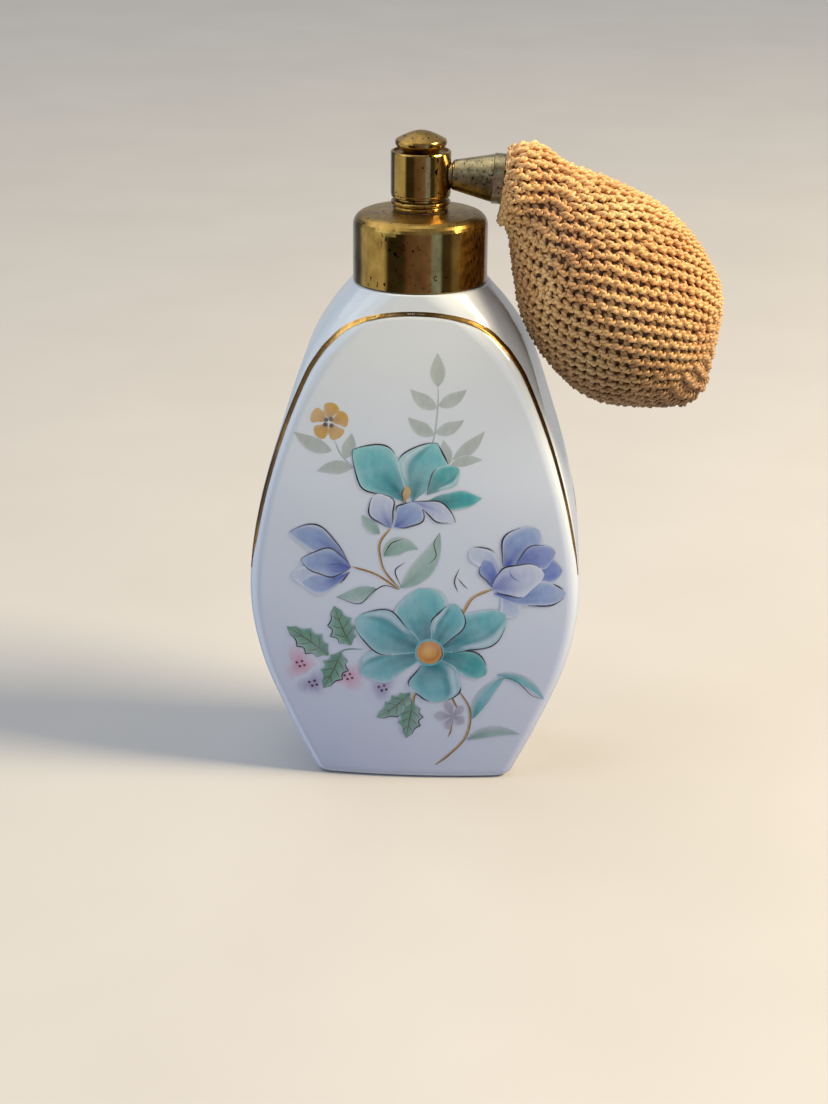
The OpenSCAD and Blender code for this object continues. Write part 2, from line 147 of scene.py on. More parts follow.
# The plain turns that close the cover's ends, as radius and share of the centre line
NECK_TURNS = ((5.3, 0.012), (4.7, 0.014), (4.1, 0.018), (3.5, 0.024))
TAIL_TURNS = ((3.3, 1.0), (2.85, 0.992))
FIBRES = 34
PLY_TURN = 2.2
# How far each round is shifted from the one below it, as a share of a stitch
LEAN = 0.5
# One stitch: share of the stitch's width, share of the round's height, and height in millimetres
STITCH = [(-0.10, -0.66, -0.30), (-0.09, -0.28, 0.32), (0.01, 0.18, 0.64), (0.12, 0.56, 0.36),
          (0.34, 0.70, -0.10), (0.58, 0.44, -0.42), (0.76, 0, -0.55), (0.86, -0.42, -0.50)]


# ---------------------------------------------------------------- curves and meshes

def smooth_curve(points, x):
    """A smooth curve through a short list of (x, y) points, taken at each x."""
    px, py = np.array(points, float).T
    index = np.arange(len(px))
    before = np.maximum(index - 1, 0)
    after = np.minimum(index + 1, len(px) - 1)
    slope = (py[after] - py[before]) / (px[after] - px[before])
    i = np.clip(np.searchsorted(px, x, side="right") - 1, 0, len(px) - 2)
    h = px[i + 1] - px[i]
    u = (x - px[i]) / h
    return (py[i] * (1 + 2 * u) * (1 - u) ** 2 + slope[i] * h * u * (1 - u) ** 2
            + py[i + 1] * u * u * (3 - 2 * u) + slope[i + 1] * h * u * u * (u - 1))


def smooth_step(low, high, x):
    """0 below low, 1 above high, and an S curve between."""
    u = np.clip((x - low) / (high - low), 0, 1)
    return u * u * (3 - 2 * u)


def unit(v):
    """Vectors scaled to length 1."""
    return v / np.maximum(np.linalg.norm(v, axis=-1, keepdims=True), 1e-12)


def sideways(way):
    """Directions turned a quarter to the left."""
    return np.stack([-way[:, 1], way[:, 0]], 1)


def ribbon(line, side, half, profile):
    """x and z of a strip along a line; half is its half width, and profile runs across it from -1 to 1."""
    half = half if half.ndim == 2 else half[:, None]
    return [line[:, None, k] + side[:, None, k] * half * profile for k in (0, 1)]


def grid_faces(rows, cols, around=False, ends_meet=False):
    """Quads of a grid of points; around closes each row, ends_meet joins the last row to the first."""
    i = np.arange(rows if ends_meet else rows - 1)[:, None]
    k = np.arange(cols if around else cols - 1)[None, :]
    below, above = (i * cols), ((i + 1) % rows) * cols
    right = (k + 1) % cols
    quads = np.stack([below + k, below + right, above + right, above + k], axis=-1)
    return quads.reshape(-1, 4)


def placed(name, data):
    """A new object in the scene."""
    thing = bpy.data.objects.new(name, data)
    bpy.context.scene.collection.objects.link(thing)
    return thing


def make_piece(name, points, faces, material, tints=None):
    """A smooth-shaded mesh object from points in millimetres."""
    mesh = bpy.data.meshes.new(name)
    mesh.from_pydata((np.asarray(points).reshape(-1, 3) * MM).tolist(), [], faces)
    mesh.polygons.foreach_set("use_smooth", [True] * len(mesh.polygons))
    if tints is not None:
        layer = mesh.color_attributes.new("tint", "FLOAT_COLOR", "POINT")
        rgba = np.ones((len(mesh.vertices), 4), np.float32)
        rgba[:, :3] = np.asarray(tints).reshape(-1, 3)
        layer.data.foreach_set("color", rgba.ravel())
    mesh.materials.append(material)
    mesh.update()
    return placed(name, mesh)


def joined(parts):
    """One (points, faces, tints) from several; tints may be None throughout."""
    points, faces, tints, first = [], [], [], 0
    for part_points, part_faces, part_tints in parts:
        flat = np.asarray(part_points).reshape(-1, 3)
        points.append(flat)
        faces.extend((np.asarray(part_faces) + first).tolist())
        first += len(flat)
        if part_tints is not None:
            tints.append(np.asarray(part_tints).reshape(-1, 3))
    return np.concatenate(points), faces, np.concatenate(tints) if tints else None


# ---------------------------------------------------------------- shader helpers

def add(tree, kind):
    """A new shader node."""
    return tree.nodes.new("ShaderNode" + kind)


def new_material(name):
    """An empty Principled material: (material, node tree, shader)."""
    material = bpy.data.materials.new(name)
    material.use_nodes = True
    tree = material.node_tree
    tree.nodes.clear()
    shader = add(tree, "BsdfPrincipled")
    output = add(tree, "OutputMaterial")
    tree.links.new(shader.outputs["BSDF"], output.inputs["Surface"])
    return material, tree, shader


def object_point(tree, stretch=(1, 1, 1)):
    """The surface point in the object's frame, stretched along each axis."""
    coordinates = add(tree, "TexCoord")
    mapping = add(tree, "Mapping")
    mapping.inputs["Scale"].default_value = stretch
    tree.links.new(coordinates.outputs["Object"], mapping.inputs["Vector"])
    return mapping.outputs["Vector"]


def noise(tree, grain, detail=3.0, roughness=0.55, stretch=(1, 1, 1)):
    """Noise whose features are about grain millimetres across."""
    texture = add(tree, "TexNoise")
    texture.inputs["Scale"].default_value = 1 / (grain * MM)
    texture.inputs["Detail"].default_value = detail
    texture.inputs["Roughness"].default_value = roughness
    tree.links.new(object_point(tree, stretch), texture.inputs["Vector"])
    return texture.outputs["Fac"]


def ramp(tree, value, *stops):
    """A colour ramp from value, through (position, colour) stops."""
    node = add(tree, "ValToRGB")
    elements = node.color_ramp.elements
    while len(elements) < len(stops):
        elements.new(1.0)
    for element, (position, colour) in zip(elements, stops):
        element.position = position
        element.color = (*colour, 1) if len(colour) == 3 else colour
    tree.links.new(value, node.inputs["Fac"])
    return node.outputs["Color"]


def level(tree, value, *stops):
    """A grey ramp from value, through (position, level) stops."""
    return ramp(tree, value, *[(position, (grey, grey, grey)) for position, grey in stops])


def mixed(tree, factor, a, b, blend="MIX"):
    """Colour a mixed with colour b; factor, a and b are sockets or values."""
    node = add(tree, "Mix")
    node.data_type = "RGBA"
    node.blend_type = blend
    for socket, source in ((node.inputs[0], factor), (node.inputs[6], a), (node.inputs[7], b)):
        if isinstance(source, bpy.types.NodeSocket):
            tree.links.new(source, socket)
        elif isinstance(source, (int, float)):
            socket.default_value = source
        else:
            socket.default_value = (*source, 1)
    return node.outputs[2]


def axes(tree, vector):
    """The X, Y and Z of a vector socket."""
    split = add(tree, "SeparateXYZ")
    tree.links.new(vector, split.inputs[0])
    return split.outputs


def share_between(tree, value, low, high):
    """0 where value is low and 1 where it is high."""
    share = add(tree, "MapRange")
    share.inputs["From Min"].default_value = low
    share.inputs["From Max"].default_value = high
    tree.links.new(value, share.inputs["Value"])
    return share.outputs[0]


def height_share(tree, low, high):
    """0 at the low height and 1 at the high one, in millimetres."""
    return share_between(tree, axes(tree, object_point(tree))["Z"], low * MM, high * MM)


def settle(shader, **amounts):
    """Sets a shader's own sockets; an underscore in a name stands for a space."""
    for socket, amount in amounts.items():
        shader.inputs[socket.replace("_", " ")].default_value = amount


def bump(tree, shader, height, depth, strength=1.0):
    """Bump of depth millimetres from a height socket."""
    node = add(tree, "Bump")
    node.inputs["Distance"].default_value = depth * MM
    node.inputs["Strength"].default_value = strength
    tree.links.new(height, node.inputs["Height"])
    tree.links.new(node.outputs["Normal"], shader.inputs["Normal"])


def srgb(red, green, blue):
    """An 8-bit display colour as linear light."""
    values = np.array([red, green, blue], float) / 255
    return tuple(np.where(values <= 0.04045, values / 12.92, ((values + 0.055) / 1.055) ** 2.4))


# ---------------------------------------------------------------- materials

GLAZE_WHITE = srgb(216, 225, 238)


def glaze(name, tinted):
    """Glazed porcelain: a clear coat over a cool white body, or over printed colours."""
    material, tree, shader = new_material(name)
    clouds = ramp(tree, noise(tree, 26, 2), (0.3, (0.97, 0.98, 1.0)), (0.7, (1.0, 0.995, 0.98)))
    # Painted shade: the glaze grows darker and bluer towards the foot, by height.
    clouds = mixed(tree, 1.0, clouds, glaze_painted_shade(tree), "MULTIPLY")
    if tinted:
        tint = add(tree, "Attribute")
        tint.attribute_name = "tint"
        strokes = level(tree, noise(tree, 0.9, 4, 0.7, (1, 1, 0.35)), (0.25, 0.86), (0.75, 1.06))
        brushed = mixed(tree, 1.0, tint.outputs["Color"], strokes, "MULTIPLY")
        pale = mixed(tree, ink_amount(tree, tint.outputs["Color"]), tint.outputs["Color"], brushed)
        wash = level(tree, noise(tree, 4.5, 3, 0.5), (0.42, 0.0), (0.7, 0.18))
        colour = mixed(tree, 1.0, mixed(tree, wash, pale, GLAZE_WHITE), clouds, "MULTIPLY")
    else:
        colour = mixed(tree, 1.0, GLAZE_WHITE, clouds, "MULTIPLY")
    fill(tree, shader, colour, level(tree, noise(tree, 14, 1), (0.3, 0.18), (0.7, 0.24)))
    bump(tree, shader, noise(tree, 9, 2), 0.05, 0.6)
    settle(shader, IOR=1.5, Coat_Weight=0.7, Coat_Roughness=0.06)
    return material


def glaze_painted_shade(tree):
    """Painted shade by height: the glaze is darkened and blued towards the foot, and left creamy white at
    the shoulder.
    """
    return ramp(tree, height_share(tree, 0, BOTTLE_H), (0.0, (0.62, 0.67, 0.86)), (0.3, (0.76, 0.81, 0.94)),
                (0.62, (0.89, 0.93, 0.99)), (0.9, (1.0, 1.0, 0.95)))


def ink_amount(tree, tint):
    """How far a tint is from the glaze's white: 0 on bare glaze and 1 on ink."""
    apart = mixed(tree, 1.0, tint, GLAZE_WHITE, "DIFFERENCE")
    grey = add(tree, "RGBToBW")
    tree.links.new(apart, grey.inputs["Color"])
    return level(tree, grey.outputs["Val"], (0.0, 0.0), (0.12, 1.0))


def fill(tree, shader, colour, roughness, metallic=0):
    """Gives a shader its colour and its roughness, which is a socket or a number."""
    tree.links.new(colour, shader.inputs["Base Color"])
    shader.inputs["Metallic"].default_value = metallic
    if isinstance(roughness, bpy.types.NodeSocket):
        tree.links.new(roughness, shader.inputs["Roughness"])
    else:
        shader.inputs["Roughness"].default_value = roughness


def mottled(name, grain, low, high, roughness, relief=None, metallic=0):
    """A surface mottled between two colours: grain is noise's, and relief is noise's, depth and strength."""
    material, tree, shader = new_material(name)
    colour = ramp(tree, noise(tree, *grain), low, high)
    if isinstance(roughness, tuple):
        wear, smooth, rough = roughness
        roughness = level(tree, noise(tree, *wear), (0.3, smooth), (0.7, rough))
    fill(tree, shader, colour, roughness, metallic)
    if relief:
        bump(tree, shader, noise(tree, *relief[0]), *relief[1:])
    return material


def gilding():
    """A burnished gilt line, thinner and browner where it has worn."""
    material, tree, shader = new_material("gilding")
    worn = noise(tree, 2.2, 5, 0.65)
    gold = ramp(tree, worn, (0.3, srgb(152, 112, 54)), (0.48, srgb(204, 160, 84)),
                (0.7, srgb(234, 198, 122)))
    browned = level(tree, noise(tree, 30, 2, 0.4), (0.45, 0.0), (0.51, 0.9))
    colour = mixed(tree, browned, gold, srgb(84, 58, 26))
    fill(tree, shader, colour, level(tree, worn, (0.3, 0.34), (0.7, 0.16)), 1)
    bump(tree, shader, noise(tree, 0.8, 3), 0.03, 0.5)
    return material


def faces_up(tree, low, high):
    """0 on upright faces and 1 on faces that look up."""
    up = axes(tree, add(tree, "NewGeometry").outputs["Normal"])["Z"]
    return level(tree, up, (low, 0.0), (high, 1.0))


def aged_brass():
    """Old lacquered brass: yellow gold, olive tarnish, dark specks in patches, and a dull top."""
    material, tree, shader = new_material("aged_brass")
    clouds = noise(tree, 5.5, 6, 0.62)
    metal = ramp(tree, clouds, (0.30, srgb(126, 100, 48)), (0.45, srgb(154, 124, 62)),
                 (0.62, srgb(174, 142, 74)), (0.8, srgb(188, 158, 92)))
    smudges = level(tree, noise(tree, 1.7, 5, 0.7, (1, 1, 0.5)), (0.50, 0.0), (0.72, 0.55))
    stained = mixed(tree, smudges, metal, srgb(112, 86, 44))
    pits = level(tree, noise(tree, 0.7, 2, 0.4, (1, 1, 0.7)), (0.64, 0.0), (0.675, 1.0))
    gathered = level(tree, noise(tree, 7, 2), (0.46, 0.0), (0.54, 1.0))
    spots = mixed(tree, 1.0, pits, gathered, "MULTIPLY")
    polished = level(tree, noise(tree, 2.2, 6, 0.7), (0.3, 0.07), (0.6, 0.12), (0.8, 0.26))
    dull = level(tree, noise(tree, 1.1, 5, 0.7), (0.3, 0.3), (0.7, 0.42))
    fill(tree, shader, mixed(tree, spots, stained, srgb(40, 26, 14)),
         mixed(tree, faces_up(tree, 0.35, 0.9), polished, dull), 1)
    scratches = noise(tree, 0.35, 3, 0.6, (0.6, 0.6, 3))
    bump(tree, shader, scratches, 0.006, 0.25)
    return material


def tarnished_brass():
    """The cone's brass, gone olive black and worn back to metal in small flecks."""
    material, tree, shader = new_material("tarnished_brass")
    clouds = noise(tree, 3.2, 6, 0.65)
    skin = ramp(tree, clouds, (0.30, srgb(108, 98, 70)), (0.5, srgb(162, 148, 110)),
                (0.72, srgb(206, 188, 140)))
    flecks = level(tree, noise(tree, 0.4, 4, 0.7), (0.58, 0.0), (0.66, 0.8))
    worn = mixed(tree, flecks, skin, srgb(206, 194, 156))
    pits = level(tree, noise(tree, 0.5, 3, 0.5, (1, 1, 0.7)), (0.60, 0.0), (0.66, 0.9))
    fill(tree, shader, mixed(tree, pits, worn, srgb(30, 24, 16)),
         level(tree, clouds, (0.3, 0.22), (0.7, 0.38)), 1)
    bump(tree, shader, noise(tree, 0.4, 4, 0.7), 0.02, 0.6)
    return material


def rubber(name, dark, light):
    """Moulded rubber with a faint bloom."""
    return mottled(name, (3, 4), (0.3, dark), (0.75, light), ((1.5, 3), 0.5, 0.75), ((0.25, 3), 0.02, 0.5))


def dip_tube_plastic():
    """Milky polythene, yellowed a little by perfume near its foot."""
    material = mottled("dip_tube_plastic", (22, 3, 0.5, (0.2, 0.2, 1)), (0.35, srgb(222, 208, 168)),
                       (0.7, srgb(234, 234, 226)), ((2, 3), 0.3, 0.45), ((1.2, 3), 0.02, 0.5))
    shader = next(n for n in material.node_tree.nodes if n.type == "BSDF_PRINCIPLED")
    settle(shader, Subsurface_Weight=0.2, Subsurface_Scale=0.6 * MM)
    return material


def crochet_yarn():
    """Lustrous twisted rayon, old gold, with painted shade darkening it towards the tail."""
    material, tree, shader = new_material("crochet_yarn")
    handled = noise(tree, 11, 3)
    colour = ramp(tree, handled, (0.3, srgb(208, 152, 94)), (0.5, srgb(236, 186, 120)),
                  (0.72, srgb(250, 212, 146)))
    strands = level(tree, noise(tree, 0.16, 3, 0.6), (0.3, 0.66), (0.7, 1.12))
    twisted = mixed(tree, 1.0, colour, strands, "MULTIPLY")
    # Painted shade: the yarn darkens lower down, towards the tail, by height.
    tail_painted_shade = ramp(tree, height_share(tree, 74, 98), (0.0, (0.30, 0.27, 0.28)), (1.0, (1.0, 1.0, 1.0)))
    fill(tree, shader, mixed(tree, 1.0, twisted, tail_painted_shade, "MULTIPLY"),
         level(tree, noise(tree, 0.5, 3), (0.3, 0.3), (0.7, 0.5)))
    settle(shader, Sheen_Weight=0.25, Sheen_Roughness=0.4, Sheen_Tint=(1.0, 0.86, 0.66, 1),
           Specular_IOR_Level=0.7)
    bump(tree, shader, noise(tree, 0.09, 2), 0.03, 0.6)
    return material


PORCELAIN = glaze("porcelain_glaze", False)
ENAMEL = glaze("floral_enamel", True)
# The unglazed foot and the inside of the bottle
BISCUIT = mottled("bare_porcelain", (2.5, 5), (0.3, srgb(214, 208, 198)), (0.7, srgb(232, 228, 220)), 0.7,
                  ((0.4, 4), 0.04, 0.8))
GILT = gilding()
AGED_BRASS = aged_brass()
TARNISHED_BRASS = tarnished_brass()
# Turned brass that the glaze and lacquer never reached, and plated wire and small turned parts
TURNING = (0.5, 3, 0.5, (0.1, 0.1, 2.5))
PLAIN_BRASS = mottled("plain_brass", (4, 4), (0.3, srgb(176, 134, 66)), (0.7, srgb(214, 176, 98)),
                      (TURNING, 0.24, 0.4), (TURNING, 0.03, 0.4), 1)
NICKEL = mottled("nickel", (2, 4), (0.3, srgb(150, 146, 138)), (0.7, srgb(206, 204, 198)),
                 ((1, 4), 0.2, 0.38), ((0.4, 3), 0.01, 0.4), 1)
GASKET_RUBBER = rubber("gasket_rubber", srgb(74, 44, 34), srgb(112, 70, 54))
BULB_RUBBER = rubber("bulb_rubber", srgb(72, 46, 30), srgb(104, 70, 46))
FIBRE = mottled("fibre_washer", (0.5, 5, 0.7), (0.3, srgb(70, 52, 40)), (0.7, srgb(122, 96, 74)), 0.85,
                ((0.15, 4), 0.03, 0.8))
TUBE_PLASTIC = dip_tube_plastic()
YARN = crochet_yarn()


# ---------------------------------------------------------------- porcelain

def body_w(z):
    """The body's half width at a height."""
    return BOTTLE_W / 2 * smooth_curve(HALF_WIDTH, z / BOTTLE_H)


def body_d(z):
    """The body's half depth at a height."""
    return BOTTLE_D / 2 * smooth_curve(HALF_DEPTH, z / BOTTLE_H)


def body_edge(z):
    """The radius of the body's upright edges at a height."""
    return smooth_curve(EDGE_RADIUS, z / BOTTLE_H)


def body_bulge(z):
    """How far a face swells at its middle at a height."""
    return PANEL_BULGE * (1 - (z / BOTTLE_H) ** 4)


def foot_inset(z):
    """How far the rounded foot pulls in at a height."""
    rise = np.clip(FOOT_R - z, 0, FOOT_R)
    return FOOT_R - np.sqrt(FOOT_R ** 2 - rise ** 2)


def arch_path(count):
    """The gilt line as (x, z) points: up the left side, over the arch and down the right."""
    z = np.linspace(ARCH_SIDE[0][0], ARCH_SIDE[-1][0], 120)
    x = smooth_curve(ARCH_SIDE, z)
    last_x, last_z = x[-1], z[-1]
    turn = np.linspace(0, 1, 60)[1:, None]
    way = unit(np.array([x[-1] - x[-2], z[-1] - z[-2]]))
    reach = (ARCH_TOP - last_z) / way[1]
    corner = np.array([last_x, last_z]) + way * reach * CORNER_REACH
    start, end = np.array([last_x, last_z]), np.array([0, ARCH_TOP])
    bend = ((1 - turn) ** 3 * start + 3 * (1 - turn) ** 2 * turn * corner
            + 3 * (1 - turn) * turn ** 2 * np.array([corner[0] * CORNER_PULL, ARCH_TOP]) + turn ** 3 * end)
    half = np.concatenate([np.stack([x, z], 1), bend])
    path = np.concatenate([half * [-1, 1], half[::-1][1:]])
    along = np.concatenate([[0], np.cumsum(np.linalg.norm(np.diff(path, axis=0), axis=1))])
    wanted = np.linspace(0, along[-1], count)
    return np.stack([np.interp(wanted, along, path[:, 0]), np.interp(wanted, along, path[:, 1])], 1)


ARCH = arch_path(700)


def panel_relief(x, z):
    """The front and back panels stand out inside the gilt line, and the step fades at the waist."""
    right = ARCH[len(ARCH) // 2:]
    order = np.argsort(right[:, 1])
    edge = np.interp(z, right[order, 1], right[order, 0])
    shape = np.shape(x)
    points = np.stack([np.abs(x).ravel(), np.asarray(z + 0 * x).ravel()], 1)
    apart = np.empty(len(points))
    for chunk in range(0, len(points), 4000):
        part = points[chunk:chunk + 4000, None, :] - right[None, ::2, :]
        apart[chunk:chunk + 4000] = np.sqrt((part ** 2).sum(-1)).min(1)
    inside = (points[:, 0] < np.ravel(edge + 0 * x)) & (points[:, 1] < ARCH_TOP)
    signed = np.where(inside, apart, -apart).reshape(shape)
    fade = smooth_step(*PANEL_FADE, z)
    return PANEL_RISE * smooth_step(-PANEL_STEP * 0.4, PANEL_STEP * 0.6, signed) * fade


def face_point(g, z, face):
    """A point of the body: g runs round from the middle of a face, face is 1 in front and -1 behind."""
    inset = foot_inset(z)
    w, d = body_w(z) - inset, body_d(z) - inset
    r, b = body_edge(z), body_bulge(z)
    flat = w - r
    past = np.abs(g) - flat
    angle = np.clip(past / r, 0, math.pi / 2)
    x = np.sign(g) * np.where(past < 0, np.abs(g), flat + r * np.sin(angle))
    y = np.where(past < 0, d - b, d - b - r + r * np.cos(angle)) - np.maximum(past - r * math.pi / 2, 0)
    y = y * (1 + b / (d - b) * (1 - (x / w) ** 2))
    y = y + panel_relief(x, z) * np.cos(angle)
    return np.stack([face * x, -face * y, z + 0 * x], -1)


def on_face(g, z, face, lift):
    """Points of a face, lifted off it."""
    step = 0.05
    here = face_point(g, z, face)
    across = face_point(g + step, z, face) - here
    up = face_point(g, z + step, face) - here
    return here + unit(np.cross(across, up)) * lift


def ring_places(z, flat_count, arc_count, side_count):
    """Places g round one face at height z, with the same number of points at every height."""
    inset = foot_inset(z)
    w, d, r, b = body_w(z) - inset, body_d(z) - inset, body_edge(z), body_bulge(z)
    flat, quarter = w - r, r * math.pi / 2
    side = max(d - b - r, 0.01)
    front = np.linspace(0, flat, flat_count)
    arc = flat + quarter * np.linspace(0, 1, arc_count + 1)[1:]
    end = flat + quarter + side * np.linspace(0, 1, side_count + 1)[1:]
    half = np.concatenate([front, arc, end])
    return np.concatenate([-half[::-1], half[1:]])


def body_ring(z):
    """One ring of the outside, front then back, with no point twice."""
    g = ring_places(z, 66, 10, 16)
    height = np.full_like(g, z)
    front = face_point(g, height, 1)
    back = face_point(g, height, -1)
    return np.concatenate([front[:-1], back[:-1]])


def porcelain_bottle():
    """The whole wall: foot, body, shoulder, neck, bore and cavity, as one closed skin."""
    low = FOOT_R * (1 - np.cos(np.linspace(0, math.pi / 2, 7)))
    heights = np.concatenate([low, np.linspace(FOOT_R, SHOULDER_Z, 130)[1:],
                              np.linspace(SHOULDER_Z, BOTTLE_H, 54)[1:]])
    body = [body_ring(z) for z in heights]
    foot, top = body[0], body[-1]
    flat = np.array([1, 1, 0])
    angle = np.arctan2(top[:, 1], top[:, 0])
    circle = np.stack([np.cos(angle), np.sin(angle), 0 * angle], 1)
    recess = [foot * flat * s + [0, 0, z] for s, z in
              ((0.03, 0.8), (0.5, 0.8), (0.80, 0.8), (0.835, 0.6), (0.85, 0.1), (0.865, 0))]
    shoulder = [top * (1 - u) + (circle * (NECK_R + 0.5) + [0, 0, BOTTLE_H]) * u for u in (0.3, 0.7, 1)]
    neck = [(NECK_R, BOTTLE_H + 0.5), (NECK_R, RIM_Z - 5), (NECK_R, RIM_Z - 0.6),
            (NECK_R - 0.18, RIM_Z - 0.18), (NECK_R - 0.6, RIM_Z), (NECK_BORE_R + 0.5, RIM_Z),
            (NECK_BORE_R + 0.15, RIM_Z - 0.15), (NECK_BORE_R, RIM_Z - 0.5), (NECK_BORE_R, RIM_Z - 6),
            (NECK_BORE_R, ROOF_Z)]
    rings = [circle * r + [0, 0, z] for r, z in neck]
    levels = np.concatenate([[ROOF_Z - 0.05], np.linspace(ROOF_Z - 1.5, FLOOR_Z + FOOT_R, 26),
                             FLOOR_Z + FOOT_R * (1 - np.cos(np.radians([60, 30, 0])))])
    cavity = []
    for z in levels:
        pull = WALL + float(foot_inset(z - FLOOR_Z)) + 2.4 * max(0, (z - ROOF_Z + 12) / 12) ** 2
        ring = body_ring(z)
        shrink = 1 - pull / np.maximum(np.linalg.norm(ring[:, :2], axis=1, keepdims=True), 1)
        cavity.append(ring * np.concatenate([shrink, shrink, np.ones_like(shrink)], 1))
    inner_floor = [cavity[-1] * [s, s, 1] for s in (0.6, 0.03)]
    rows = np.array(recess + body + shoulder + rings + cavity + inner_floor)
    count, across = rows.shape[:2]
    faces = grid_faces(count, across, around=True).tolist()
    faces.append(list(range(across))[::-1])
    faces.append([(count - 1) * across + k for k in range(across)])
    piece = make_piece("porcelain_body", rows, faces, PORCELAIN)
    piece.data.materials.append(BISCUIT)
    glazed = (len(recess) - 1 + len(body) + len(shoulder) + 7) * across
    index = np.zeros(len(faces), np.int32)
    index[:5 * across] = 1
    index[glazed:] = 1
    piece.data.polygons.foreach_set("material_index", index)
    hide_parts("porcelain_bottle")
    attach(piece, "bottle")


def gilt_line(face):
    """A thin raised ribbon along the arch, broad over the shoulder and fine at the waist."""
    path = ARCH[6:-6]
    tangent = unit(np.gradient(path, axis=0))
    side = sideways(tangent)
    share = np.linspace(0, 1, len(path))
    ends = smooth_step(0, 0.06, share) * smooth_step(1, 0.94, share)
    broad = 0.2 + 0.2 * smooth_step(0.95, 0.55, share)
    half = broad * (0.25 + 0.75 * ends)
    profile = np.linspace(-1, 1, 7)
    x, z = ribbon(path, side, half, profile)
    w, r = body_w(z), body_edge(z)
    past = np.clip((np.abs(x) - (w - r)) / r, -1, 1)
    g = np.where(past > 0, np.sign(x) * (w - r + r * np.arcsin(np.clip(past, 0, 1))), x)
    lift = 0.05 + 0.06 * (1 - profile ** 2)
    points = on_face(g, z, face, lift[None, :, None])
    name = "gilt_line_front" if face > 0 else "gilt_line_back"
    piece = make_piece(name, points, grid_faces(len(path), len(profile)).tolist(), GILT)
    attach(piece, "bottle")


porcelain_bottle()
for side_of_bottle in (1, -1):
    gilt_line(side_of_bottle)


# ---------------------------------------------------------------- floral print

INK = srgb(34, 30, 40)
OLIVE_INK = srgb(96, 80, 44)
GOLD_PRINT = (srgb(170, 126, 58), srgb(202, 160, 82), srgb(208, 172, 102))
# Colours of a petal or leaf: at its root, over its body and along its rim
TEAL = (srgb(8, 112, 124), srgb(110, 188, 198), srgb(164, 214, 218))
DEEP_TEAL = (srgb(10, 110, 116), srgb(64, 166, 170), srgb(138, 204, 206))
BLUE = (srgb(70, 92, 172), srgb(148, 172, 216), srgb(188, 204, 228))
PALE_BLUE = (srgb(112, 126, 192), srgb(194, 206, 230), srgb(218, 226, 238))
DEEP_BLUE = (srgb(58, 76, 164), srgb(108, 130, 200), srgb(160, 180, 220))
FAINT_BLUE = (srgb(152, 170, 214), srgb(190, 204, 228), GLAZE_WHITE)
GREY_LEAF = (srgb(172, 184, 186), srgb(176, 187, 188), srgb(190, 199, 200))
SAGE = (srgb(96, 140, 130), srgb(154, 186, 178), srgb(190, 206, 202))
LEAF_GREEN = (srgb(62, 116, 92), srgb(110, 162, 140), srgb(160, 196, 180))
MIST = (srgb(156, 158, 178), srgb(180, 182, 198), srgb(200, 202, 212))
PINK = srgb(222, 168, 192)
LILAC = srgb(166, 164, 200)
AMBER = (srgb(190, 118, 52), srgb(216, 152, 74), srgb(232, 184, 112))

# Where the spray sits on the panel: its shift to the right, its rise and its slope
SPRAY_SHIFT = 0.9
SPRAY_RISE = 1.6
SPRAY_TILT = 0.03

PRINT = []


def blend_tint(a, b, share):
    """Tint a turning into tint b; share may be a grid."""
    share = np.asarray(share)[..., None]
    return np.asarray(a) * (1 - share) + np.asarray(b) * share


def lay(x, z, tints):
    """Prints a grid of points on the front, over everything printed before it."""
    lift = 0.01 + 0.0008 * len(PRINT)
    points = on_face(x + SPRAY_SHIFT, z + SPRAY_RISE + SPRAY_TILT * x, 1, lift)
    PRINT.append((points, grid_faces(*x.shape), np.broadcast_to(tints, points.shape)))


def blade_sides(base, tip, width, bend, belly, blunt, count):
    """Centre line, sideways direction and half width of a petal or leaf, from base to tip."""
    base, tip = np.array(base, float), np.array(tip, float)
    along = tip - base
    across = np.array([-along[1], along[0]])
    t = np.linspace(0, 1, count)[:, None]
    bow = base + along / 2 + across * bend
    line = (1 - t) ** 2 * base + 2 * (1 - t) * t * bow + t ** 2 * tip
    way = unit(2 * (1 - t) * (bow - base) + 2 * t * (tip - bow))
    power = math.log(0.5) / math.log(belly)
    half = width / 2 * np.sin(math.pi * t[:, 0] ** power) ** blunt
    return line, sideways(way), np.maximum(half, 0.02)


def stroke(points, width, tint, fade=0.35):
    """A pen line through (x, z) points, tapered at both ends."""
    points = np.array(points, float)
    if len(points) < 8:
        knots = np.arange(len(points))
        fine = np.linspace(0, len(points) - 1, 8 * len(points))
        points = np.stack([smooth_curve(list(zip(knots, points[:, k])), fine) for k in (0, 1)], 1)
    way = unit(np.gradient(points, axis=0))
    side = sideways(way)
    share = np.linspace(0, 1, len(points))
    half = width / 2 * (0.3 + 0.7 * smooth_step(0, fade, share) * smooth_step(1, 1 - fade, share))
    lay(*ribbon(points, side, half, np.array([-1, 0, 1])), tint)


